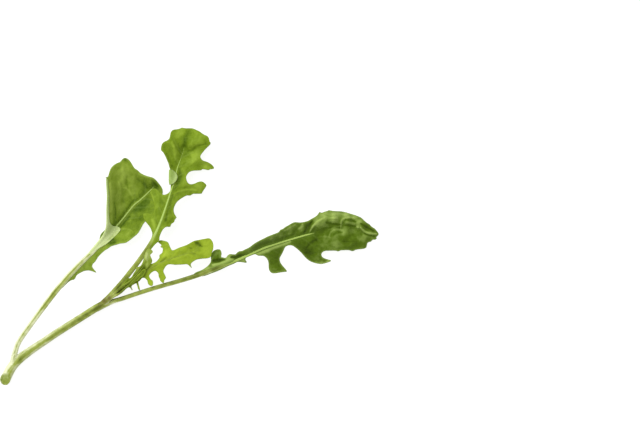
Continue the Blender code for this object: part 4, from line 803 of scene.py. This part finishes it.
youngLeaf = {
    **plainLeaf,
    "node": "leaf_young", "slot": "young_leaf",
    "stalk": [
        (-24, -11.4, 5, 0.6), (-22, -9.9, 5.4, 0.55), (-19.5, -7.9, 5.9, 0.42), (-17, -6, 6.6, 0.28),
        (-14, -4, 7.4, 0.18), (-11, -2.4, 8.1, 0.1), (-8, -1.2, 8.7, 0.08), (-4, 0.2, 9.1, 0.06),
        (0, 1.4, 9.1, 0.05), (4, 2.4, 8.7, 0.04),
    ],
    "stalkTones": [(-24, -11.4, 5, -0.7), (-16, -5.5, 4, -0.3)],
    "paintedSideLight": [((-0.5, 0.7, 0.5), 0.2, 0.1)],
    "leafy": "#7c8f26", "leafShare": 0.6,
    "groove": 0.15,
    "margin": [
        (-25, -12.9), (-23.6, -12), (-22.4, -11.6), (-21.6, -12.8), (-21.35, -12.6), (-21.8, -11.2),
        (-20.5, -10.3), (-19.9, -10.1), (-19.1, -12.5), (-18.5, -12.6), (-19.2, -9.8), (-18.7, -9.2),
        (-17.7, -8.1), (-16.8, -8), (-15.8, -8.9), (-15.4, -10.3), (-14.6, -11), (-13.7, -11),
        (-13.6, -9.2), (-14.3, -8.7), (-15, -7.6), (-14.9, -6.9), (-14, -5.9), (-12.9, -5.3),
        (-12.1, -5.6), (-11.5, -6.4), (-11.4, -7.5), (-11, -8.4), (-10.8, -9.1), (-9.6, -10.1),
        (-9.2, -8.7), (-8.6, -8), (-9, -7), (-9.6, -5.6), (-9.3, -4.6), (-8.5, -3.4), (-7.3, -2.8),
        (-5.1, -3), (-2.5, -2.9), (-0.6, -2.8), (0.2, -3.4), (1.2, -4.3), (0.7, -2.8), (1.8, -1.7),
        (3.2, -1), (5.2, -0.7), (6.9, -0.6), (8.2, -0.1), (8.7, 1.5), (9.2, 3), (9.3, 4.7), (8.8, 6.1),
        (7.8, 7), (6.2, 6.8), (4.6, 6.5), (1.9, 5.9), (0.4, 5.1), (-1, 4.4), (-3.7, 3.4), (-6, 2.4),
        (-6.7, 3.1), (-7.3, 4.2), (-7.9, 5.5), (-9.4, 6), (-10.9, 6.2), (-11.6, 5.4), (-10.7, 4.8),
        (-10.3, 4), (-10.9, 3.7), (-9.8, 3.2), (-10, 1.5), (-11.1, 0.6), (-11, -0.3), (-12.1, -1.7),
        (-13.3, -2.4), (-15, -3), (-16.6, -4), (-18, -5.2), (-19.6, -6.4), (-21.4, -8.2), (-23, -9.8),
        (-24.6, -11.1), (-25.8, -12.5),
    ],
    "heights": [
        (-6, 2.4, 8.9), (-1, 4.4, 9.6), (4.6, 6.5, 9.6), (7.7, 7, 8.6), (9.2, 4.5, 7.9), (9.2, 3, 7.7),
        (8.2, 0, 7.6), (3.2, -1, 8.2), (0.2, -3.2, 7.4), (1.2, -4.2, 6.6), (-5, -3, 8),
        (-8.5, -3.4, 7.7), (-9.4, -5, 7.3), (-8.7, -8, 6.7), (-9.6, -10, 6.3), (-11.4, -7.5, 6.7),
        (-13, -5.4, 6.9), (-15, -7.2, 6.5), (-13.8, -11, 5.9), (-15.8, -9, 6.1), (-17.7, -8.1, 6),
        (-18.6, -12.6, 5), (-20.2, -10.1, 5.3), (-21.6, -12.7, 4.8), (-23, -11.6, 5.1), (-10, 1.5, 8),
        (-9, 3.2, 7.6), (-8, 5.4, 7), (-11.2, 5.6, 6.4), (-13.2, -2.3, 7.7), (-18, -5.2, 6.4),
        (-22.5, -9.2, 5.4), (3, 4.6, 8.8), (5.5, 2.4, 8.6),
    ],
    "veins": {"every": 3.2, "first": 0.3, "angle": 50, "bend": 14, "length": 7},
    "veinDip": 0.1, "pucker": 0.16, "puckerSize": 2.2, "puckerPaintedShade": 0.3,
    "keel": 0.06, "keelWidth": 0.9, "ruffle": 0.1,
    "creases": [
        (0.6, -0.3, -0.7, [(2.3, 6), (3.6, 4.8), (5.2, 3.8)]),
        (0.5, -0.2, -0.4, [(0.2, 1.1), (1.2, 1.2), (2.6, 1)]),
        (0.5, -0.2, -0.35, [(0.4, 3.3), (1.4, 3)]),
        (0.45, -0.3, -0.6, [(-10.6, -2), (-9.4, -1.2), (-8.4, -0.2)]),
        (0.8, 0.35, 0.35, [(-10, -0.8), (-9, 0.8), (-8.7, 2.4)]),
        (0.5, 0.15, 0.3, [(-6.4, -1.2), (-3, -0.2), (2, 1.8)]),
        (0.5, -0.25, -0.4, [(-24, -11), (-21.6, -9.8), (-19.8, -8.6)]),
        (0.4, 0.2, 0.7, [(-20.4, -7.4), (-18.6, -6.2), (-17.4, -5.6)]),
    ],
    "tones": [
        (3.2, 5.6, 1.3, -0.5), (4.6, 4.4, 1, -0.3), (1, 3, 0.8, -0.15), (7.4, 4, 2.2, 0.4),
        (6.5, 1.4, 1.8, 0.3), (-9.1, 1.2, 1.2, 0.25), (-9.8, 4.6, 1.3, -0.4), (-10.6, -6.4, 2.2, 0.1),
        (-14.4, -9.6, 1.6, 0.3), (-18.2, -7.6, 1.8, -0.6), (-14.6, -4.6, 1.6, -0.35),
        (-20.8, -9.2, 2, -0.8), (-25.4, -12.2, 1.6, 0.3), (-12.6, -3.6, 1.2, -0.1),
        (-22.6, -10.6, 1.4, -0.4), (-3.6, -1.8, 1.4, 0.1), (-5, 1.4, 1.4, 0.1),
    ],
    "top": dict(topLook, deep="#465a06", middle="#849a22", light="#a1b736", vein="#9db148", rib="#8da034",
                rim="#869b2c", panel=1.6, panelShare=0.4, lie=30, veinlet=0.9, netShare=0.1, veinShare=0.22),
    "under": dict(undersideLook, deep="#8fab50", middle="#a8c06a", light="#bfd28a", vein="#c6d797",
                  rib="#c2d48e", rim="#b5c97f", panel=1.6, panelShare=0.4, lie=30, netShare=0.15,
                  veinShare=0.4),
}

leaflet = {
    **plainLeaf,
    "slot": "young_leaf",
    "paintedSideLight": [((-0.5, 0.7, 0.5), 0.2, 0.1)],
    "leafShare": 0.85, "groove": 0.15,
    "veins": {"every": 2.2, "first": 0.4, "angle": 40, "bend": 10, "length": 3},
    "veinDip": 0.05, "puckerSize": 1.6, "puckerPaintedShade": 0.3, "keel": 0.03, "keelWidth": 0.7, "ruffle": 0.05,
    "under": youngLeaf["under"],
}

longLeaflet = {
    **leaflet,
    "node": "leaflet_long", "pucker": 0.08,
    "stalk": [
        (-25.3, -11.2, 6.55, 0.42), (-22.6, -9.4, 7.1, 0.34), (-20, -7, 8, 0.2),
        (-17.6, -4.2, 8.9, 0.12), (-15.8, -1, 9.5, 0.06), (-14.9, 1.6, 9.9, 0.04),
    ],
    "stalkTones": [(-24, -10, 4, -0.9), (-18, -3, 4, -0.2)],
    "leafy": "#7a8c2c",
    "margin": [
        (-26.2, -12.5), (-24.6, -11.5), (-23, -10.3), (-21.6, -9.6), (-20, -8.2), (-18.4, -6.4),
        (-17.2, -5.4), (-16, -4.6), (-14.9, -3.3), (-14, -2.4), (-13.8, -1.2), (-14.3, 0),
        (-14.5, 0.8), (-13.7, 1.5), (-13.6, 2.3), (-14.2, 2.8), (-14.9, 3.2), (-15.7, 2.6), (-16.4, 1),
        (-16.9, -0.8), (-17.4, -2.3), (-18, -3.4), (-18.8, -3.85), (-19.9, -3.95), (-19.7, -4.7),
        (-20.7, -6.2), (-21.5, -7.6), (-22.2, -8.1), (-23.4, -8.4), (-24, -9.1), (-25, -10.2),
        (-26.4, -11.7),
    ],
    "heights": [
        (-24.4, -11.4, 6.5), (-24.8, -10.2, 6.5), (-14.6, -2.6, 8.6), (-14, 2, 9.5),
        (-16.5, 0.4, 10.1), (-18.6, -4, 9.6), (-19.4, -7.4, 7.6),
    ],
    "creases": [
        (0.5, 0.25, 0.6, [(-15.9, 1.6), (-16, 0), (-15.6, -1.6)]),
        (0.45, -0.3, -0.9, [(-17.2, -3.2), (-17.7, -4.2), (-18.6, -5)]),
        (0.4, 0.2, 0.5, [(-15.4, -2), (-15.8, -3.2), (-15.6, -4.2)]),
        (0.45, -0.25, -0.6, [(-16.4, -4.4), (-18, -5.8), (-19.8, -7.4)]),
    ],
    "tones": [
        (-15.8, 0.6, 1.2, 0.9), (-15, 2.6, 0.8, 0.1), (-14.4, -1.8, 1.2, -0.2), (-17.4, -4, 0.8, -1.6),
        (-18.9, -5.8, 0.9, -0.1), (-20.4, -7.6, 1.2, -1.1), (-22.4, -9.4, 1.8, -1.6),
        (-16, -4.6, 1.2, -0.5),
    ],
    # Its midrib is painted dark, as shade in the recess at the leaflet's base.
    "top": dict(youngLeaf["top"], middle="#889c3c", light="#b9c67c", rib="#52660f"),
}

# The short leaflet's deeper greens and dark tone patches are partly painted shade where it lies in the recess
# of the fork.
shortLeaflet = {
    **leaflet,
    "node": "leaflet_short", "pucker": 0.1,
    "stalk": [
        (-24.6, -12.5, 6.4, 0.4), (-22.6, -10.7, 6.9, 0.32), (-20.4, -8.8, 7.4, 0.18),
        (-18.6, -7.2, 7.9, 0.12), (-17.2, -5.8, 8.3, 0.06),
    ],
    "stalkTones": [(-23, -11, 4, -0.9)],
    "leafy": "#667a1c",
    "margin": [
        (-22.4, -10.9), (-21, -10.3), (-20.2, -9.4), (-19.2, -9), (-18.4, -8), (-17.4, -7.6),
        (-16.8, -6.6), (-16.2, -5.4), (-16.4, -4.6), (-17.4, -4.9), (-18.2, -5.8), (-19.4, -6.9),
        (-20.6, -8.2), (-22, -9.7),
    ],
    "heights": [(-17.2, -7.2, 7.9), (-16.3, -5, 8.6), (-18.6, -6.2, 8.5), (-20.4, -9.7, 7.1)],
    "creases": [
        (0.4, 0.2, 0.7, [(-19.4, -7), (-18.4, -6.2)]),
        (0.4, -0.2, -0.6, [(-21.2, -9.4), (-19.6, -8.4), (-18, -7)]),
    ],
    "tones": [
        (-17.6, -5.6, 0.9, -0.9), (-18.8, -7, 0.9, 0.2), (-20.6, -9, 1.2, -0.9), (-22.6, -10.6, 1.6, -1.2),
    ],
    "top": dict(youngLeaf["top"], middle="#667c1c", rib="#5c701c"),
}


# How side veins run: in steps, those on the left a share of the way on, and a little wavy.
veinForm = {"steps": 9, "stagger": 0.35, "last": 0.995, "near": 0.02, "wave": 5, "waveTurn": 1.3}


def sideVeins(midrib, rule):  # curved veins that leave the midrib in turn, left and right
    length = np.linalg.norm(np.diff(midrib[:, :2], axis=0), axis=1).sum()
    run = np.linspace(0, 1, len(midrib))

    def placeAt(share):
        return np.array([np.interp(share, run, column) for column in midrib[:, :2].T])

    veins = []
    steps, near = veinForm["steps"], veinForm["near"]
    for number, start in enumerate(np.arange(rule["first"] * length, length, rule["every"])):
        for side in (1, -1):
            shift = veinForm["stagger"] * rule["every"] if side > 0 else 0
            at = min((start + shift) / length, veinForm["last"])
            ahead = placeAt(min(at + near, 1)) - placeAt(at - near)
            heading = math.atan2(ahead[1], ahead[0])
            vein = [placeAt(at)]
            for step in range(steps):
                wave = veinForm["wave"] * math.sin(step * veinForm["waveTurn"] + number)
                turned = rule["angle"] - rule["bend"] * step / (steps - 1) + wave
                angle = heading + side * math.radians(turned)
                vein.append(vein[-1] + rule["length"] / steps * np.array([math.cos(angle), math.sin(angle)]))
            veins.append(np.array(vein))
    return veins


def foldRows(fold):  # the fold's line in even steps, which way the roll bulges, and its radii
    rows = evenLine(smoothLine(fold["line"], 8), spacing)
    line = rows[:, :2]
    ahead = np.gradient(line, axis=0)
    ahead /= np.linalg.norm(ahead, axis=1)[:, None]
    out = np.stack([-ahead[:, 1], ahead[:, 0]], axis=1)
    middle = len(rows) // 2
    if out[middle] @ (np.array(fold["inside"]) - line[middle]) > 0:
        out = -out
    return line, out, rows[:, 2]


def flatSheet(margin, fold):  # the blade's outline filled, with any rolled flap a roll's height above it
    if not fold:
        return fillRing(evenLine(smoothLine(margin, 6, closed=True), spacing, closed=True)), None
    line, out, radii = foldRows(fold)
    edge = evenLine(smoothLine([line[-1]] + margin + [line[0]], 6), spacing)
    bm = fillRing(np.vstack([edge[1:-1], line]))
    addMesh(bm, rollGrid(line, out, radii))
    lip = evenLine(smoothLine([line[-1]] + fold["flap"] + [line[0]], 6), spacing)
    flap = fillRing(np.vstack([lip[1:-1], line]))
    for vert in flap.verts:
        gaps = np.linalg.norm(line - (vert.co.x, vert.co.y), axis=1)
        drop = bladeForm["lipDrop"] * min(gaps.min() / bladeForm["lipReach"], 1)
        vert.co.z = 2 * radii[gaps.argmin()] * (1 - drop)
    addMesh(bm, flap)
    bmesh.ops.remove_doubles(bm, verts=bm.verts, dist=1e-3)
    return bm, line


def edgeGaps(plan, margin, fold):  # how far each point is from the margin
    rimLine = evenLine(smoothLine(margin, 8, closed=not fold), 0.2, closed=not fold)
    tree = KDTree(len(rimLine))
    for number, (x, y) in enumerate(rimLine):
        tree.insert((x, y, 0), number)
    tree.balance()
    return np.array([tree.find((x, y, 0))[2] for x, y in plan])


def nearVeins(plan, veins):  # distance to the nearest side vein, and share of its length there
    best = np.full(len(plan), 9.0)
    along = np.zeros(len(plan))
    for vein in veins:
        gap, share = nearLine(plan, vein)
        closer = gap < best
        best = np.where(closer, gap, best)
        along = np.where(closer, share, along)
    return best, along


# How a blade's tissue lies. Widths, reaches and sizes are in millimetres.
bladeForm = {
    "flatFlap": 0.35, "calmFold": 1.6,  # puckers are lower on a flap, and fade beside its fold
    "lipDrop": 0.8, "lipReach": 3.5,  # the flap's lip comes down again
    "veinFurrow": 0.55, "panelEdge": 1.3, "veinFade": 2.0, "puckerFade": 2.5,
    "wrinkle": 0.45, "wrinkleSize": 2.6,  # fine wrinkles, as shares of the pucker's height and size
    "quietRib": 1.2, "ruffleSize": 2.2, "ruffleReach": 1.6,
    # Tissue swells over a stalk and sinks along a midrib.
    "stalkWidth": 0.6, "stalkBlend": 0.2, "overStalk": 0.4, "ribFade": 1.2,
    "bulge": 0.4,  # how far a panel bulges on its own, as a share of the pucker
    "creaseEnds": 0.55, "creaseMiddle": 0.45, "creaseFade": 1.0,
    "veinPaint": 0.32, "ribPaint": 0.75, "rimPaint": 0.45, "fullRib": 0.22, "faintRib": 0.1,
    "ribStrength": 0.85, "rimStrength": 0.6,
    "flapTone": 0.3,
}


def buildBlade(leaf, name, margin, heights, fold, materials, midrib, veins):
    form = bladeForm
    bm, foldLine = flatSheet(margin, fold)
    bmesh.ops.subdivide_edges(bm, edges=bm.edges[:], cuts=1, use_grid_fill=True)
    bmesh.ops.triangulate(bm, faces=bm.faces[:])
    bmesh.ops.recalc_face_normals(bm, faces=bm.faces)
    lowFaces = [face for face in bm.faces if face.calc_center_median().z < 0.05]
    if sum(face.normal.z * face.calc_area() for face in lowFaces) < 0:
        bmesh.ops.reverse_faces(bm, faces=bm.faces)
    points = planOf(bm)
    plan, lift = points[:, :2], points[:, 2]
    onFlap = lift > 0.05
    edge = edgeGaps(plan, margin, fold)
    ribGap, ribShare = nearLine(plan, midrib)
    veinGap, veinShare = nearVeins(plan, veins)
    calm = 1.0
    if fold:
        calm = ease(np.linalg.norm(plan[:, None] - foldLine[None], axis=2).min(1), form["calmFold"])
    flat = np.where(onFlap, form["flatFlap"], 1.0) * calm
    veinFade = (1 - veinShare) * ease(edge, form["veinFade"])
    relief = -leaf["veinDip"] * bell(veinGap, form["veinFurrow"]) * veinFade
    panels = 1 - bell(np.minimum(veinGap, ribGap), form["panelEdge"])
    swell = form["bulge"] + waves(plan, leaf["puckerSize"], 3.1)
    relief += leaf["pucker"] * panels * swell * ease(edge, form["puckerFade"])
    quiet = 1 - bell(ribGap, form["quietRib"])
    wrinkles = waves(plan, leaf["puckerSize"] / form["wrinkleSize"], 8.7)
    relief += form["wrinkle"] * leaf["pucker"] * wrinkles * quiet
    relief += leaf["ruffle"] * waves(plan, form["ruffleSize"], 5.3) * bell(edge, form["ruffleReach"]) * quiet
    thick = np.interp(ribShare, np.linspace(0, 1, len(midrib)), midrib[:, 3])
    sink = -leaf["keel"] * np.clip((form["stalkWidth"] - thick) / form["stalkBlend"], 0, 1)
    rise = np.where(thick > form["stalkWidth"], form["overStalk"] * thick, sink)
    relief += rise * bell(ribGap, leaf["keelWidth"]) * ease(edge, form["ribFade"])
    tone = tonesAt(plan, leaf["tones"])
    tone += leaf["puckerPaintedShade"] * relief / max(leaf["pucker"], 0.1)  # painted highlight where the tissue bulges, painted shade in its hollows
    # A crease's tint paints shade along a fold and a highlight along a ridge.
    for width, height, tint, line in leaf["creases"]:
        gap, along = nearLine(plan, smoothLine(line, 5))
        taper = form["creaseEnds"] + form["creaseMiddle"] * np.sin(math.pi * along)
        share = bell(gap, width * taper)
        relief += height * share * ease(edge, form["creaseFade"])
        tone += tint * share
    height = heightFit(heights)(plan) + lift + relief * flat
    masks = {
        "tone": np.where(onFlap, form["flapTone"] * tone + tonesAt(plan, leaf["flapTones"]), tone),
        "vein": bell(veinGap, form["veinPaint"]) * veinFade,
        "rib": (form["ribStrength"] * bell(ribGap, form["ribPaint"])
                * np.clip(thick / form["fullRib"], form["faintRib"], 1)),
        "rim": form["rimStrength"] * bell(edge, form["rimPaint"]),
    }
    for vert, z in zip(bm.verts, np.maximum(height, bladeThickness / 2)):
        vert.co.z = z
    made = finishObject(name, bm, materials)
    setMasks(made.data, masks)
    wall = made.modifiers.new("leaf_thickness", "SOLIDIFY")
    wall.thickness = bladeThickness * mm
    wall.offset = 0.0
    wall.material_offset = 1
    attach(made, "root")
    return made


def heightsOn(blade, midrib):  # how high the blade is at each point of its midrib
    tree = KDTree(len(blade.data.vertices))
    for vert in blade.data.vertices:
        tree.insert(vert.co / mm, vert.index)
    tree.balance()
    heights = [np.mean([place.z for place, _, _ in tree.find_n(tuple(row[:3]), 6)]) for row in midrib]
    return np.convolve(np.pad(heights, 1, mode="edge"), np.ones(3) / 3, mode="valid")


# Where a stalk turns into a midrib, by its radius in millimetres, and how a midrib lies on its blade.
ribForm = {
    "sides": 18,
    "leafyFrom": 0.85, "leafyOver": 0.35, "leafyRun": 6.0,
    "thinFrom": 0.6, "thinOver": 0.2, "thinRun": 3.0,
    "sinkShare": 0.6, "proudShare": 0.4, "buried": 0.2, "above": 0.02,
    "lowest": 0.34,
}


def layMidrib(leaf, blade, midrib, leafy):  # a stalk stays where it is, and a thin midrib follows its blade
    form = ribForm
    sunk = midrib[:, 2] - form["sinkShare"] * leaf["keel"] * leafy
    midrib[:, 2] = np.maximum(sunk, np.minimum(midrib[:, 2], form["lowest"]))
    thin = np.clip((form["thinFrom"] - midrib[:, 3]) / form["thinOver"], 0, 1)
    thin *= ease(rowStep * np.arange(len(midrib)), form["thinRun"])
    proud = bladeThickness / 2 + form["above"] - form["buried"] * midrib[:, 3]
    proud = np.maximum(proud, form["proudShare"] * leaf["keel"])
    midrib[:, 2] += thin * (heightsOn(blade, midrib) + proud - midrib[:, 2])


def buildLeaf(leaf):
    node = leaf["node"]
    before, last = (np.array(point) for point in stem["stubs"][node][-2:])
    midrib = evenLine(smoothLine([before, last] + leaf["stalk"], 8), rowStep)
    start = np.argmin(np.linalg.norm(midrib[:, :3] - last[:3], axis=1))
    midrib = midrib[max(start - 3, 0):]  # begins just inside the stub
    veins = sideVeins(midrib, leaf["veins"])
    materials = [bladeTissue(node + "_waxy_leaf", leaf["top"]),
                 bladeTissue(node + "_matt_leaf_underside", leaf["under"])]
    spine = [(x, y, z) for x, y, z, _ in leaf["stalk"]]
    blade = buildBlade(leaf, node + "_blade", leaf["margin"], leaf["heights"] + spine, leaf["fold"],
                       materials, midrib, veins)
    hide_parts(node)
    for number, lobe in enumerate(leaf["lobes"], 1):
        plain = dict(leaf, creases=[], tones=lobe["tones"])
        buildBlade(plain, f"{node}_side_lobe_{number}", lobe["margin"], lobe["heights"], None,
                   materials, midrib, veins)
    leafy = np.clip((ribForm["leafyFrom"] - midrib[:, 3]) / ribForm["leafyOver"], 0, 1)
    leafy *= ease(rowStep * np.arange(len(midrib)), ribForm["leafyRun"])
    layMidrib(leaf, blade, midrib, leafy)
    bm = stalkTube(midrib, ribForm["sides"], groove=leaf["groove"])
    points = planOf(bm)
    points[:, 2] = np.maximum(points[:, 2], 0.0)
    for vert, z in zip(bm.verts, points[:, 2]):
        vert.co.z = z
    tone = tonesAt(points[:, :2], stem["tones"] + leaf["stalkTones"]) + paintedSideLightTones(bm, leaf["paintedSideLight"])
    masks = {"tone": tone, "leafy": np.repeat(leaf["leafShare"] * leafy, ribForm["sides"]),
             "forkBlushAndShade": tonesAt(points[:, :2], stem["forkBlushAndShade"]), "grain": grainOf(points, [midrib[::4]])[0]}
    skinned = stalkSkin(node + "_stalk_skin", dict(stalkLook, leafy=leaf["leafy"]))
    stalk = finishObject(node + "_stalk", bm, [skinned])
    setMasks(stalk.data, masks)
    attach(stalk, "root")
    print(node, len(blade.data.polygons), "blade faces")


leaves = [lowerLeaf, upperLeaf, rightLeaf, youngLeaf, longLeaflet, shortLeaflet]
buildStem()
for leaf in leaves:
    buildLeaf(leaf)


# Stage: a pale table, white soft light from all round, and a large soft light at the upper left.
stage = {
    "floorSide": 2.4, "floorColour": "#808080", "floorRough": 0.9, "floorGloss": 0.1,
    "white": "#ffffff", "floorGlow": 0.86,  # a light table, so shadows stay faint
    "worldLight": 0.70,
    "keyPlace": (-0.42, 0.48, 1.12), "keySide": 0.75, "keyWatts": 14.0,
    "viewCentre": (49.59, 15.77), "viewHeight": 1351.1, "lens": 200.0, "reach": 20,
}


def buildStage():
    bm = bmesh.new()
    bmesh.ops.create_grid(bm, x_segments=4, y_segments=4, size=stage["floorSide"] / 2 / mm)
    paint = bpy.data.materials.new("white_table")
    paint.use_nodes = True
    shader = paint.node_tree.nodes["Principled BSDF"]
    shader.inputs["Base Color"].default_value = linear(stage["floorColour"])
    shader.inputs["Roughness"].default_value = stage["floorRough"]
    shader.inputs["Specular IOR Level"].default_value = stage["floorGloss"]
    shader.inputs["Emission Color"].default_value = linear(stage["white"])
    shader.inputs["Emission Strength"].default_value = stage["floorGlow"]
    floor = finishObject("table_top", bm, [paint])
    world = bpy.data.worlds.new("soft_white")
    world.use_nodes = True
    world.node_tree.nodes["Background"].inputs["Color"].default_value = linear(stage["white"])
    world.node_tree.nodes["Background"].inputs["Strength"].default_value = stage["worldLight"]
    bpy.context.scene.world = world
    light = bpy.data.lights.new("key_softbox", "AREA")
    light.shape = "SQUARE"
    light.size = stage["keySide"]
    light.energy = stage["keyWatts"]
    key = bpy.data.objects.new("key_softbox", light)
    key.location = stage["keyPlace"]
    key.rotation_euler = (-Vector(stage["keyPlace"])).to_track_quat("-Z", "Y").to_euler()
    bpy.context.scene.collection.objects.link(key)
    lens = bpy.data.cameras.new("camera")
    lens.lens = stage["lens"]
    lens.clip_end = stage["reach"]
    camera = bpy.data.objects.new("camera", lens)
    camera.location = (stage["viewCentre"][0] * mm, stage["viewCentre"][1] * mm, stage["viewHeight"] * mm)
    bpy.context.scene.collection.objects.link(camera)
    bpy.context.scene.camera = camera
    bpy.context.scene.view_settings.view_transform = "Standard"
    print("stage ready")


buildStage()
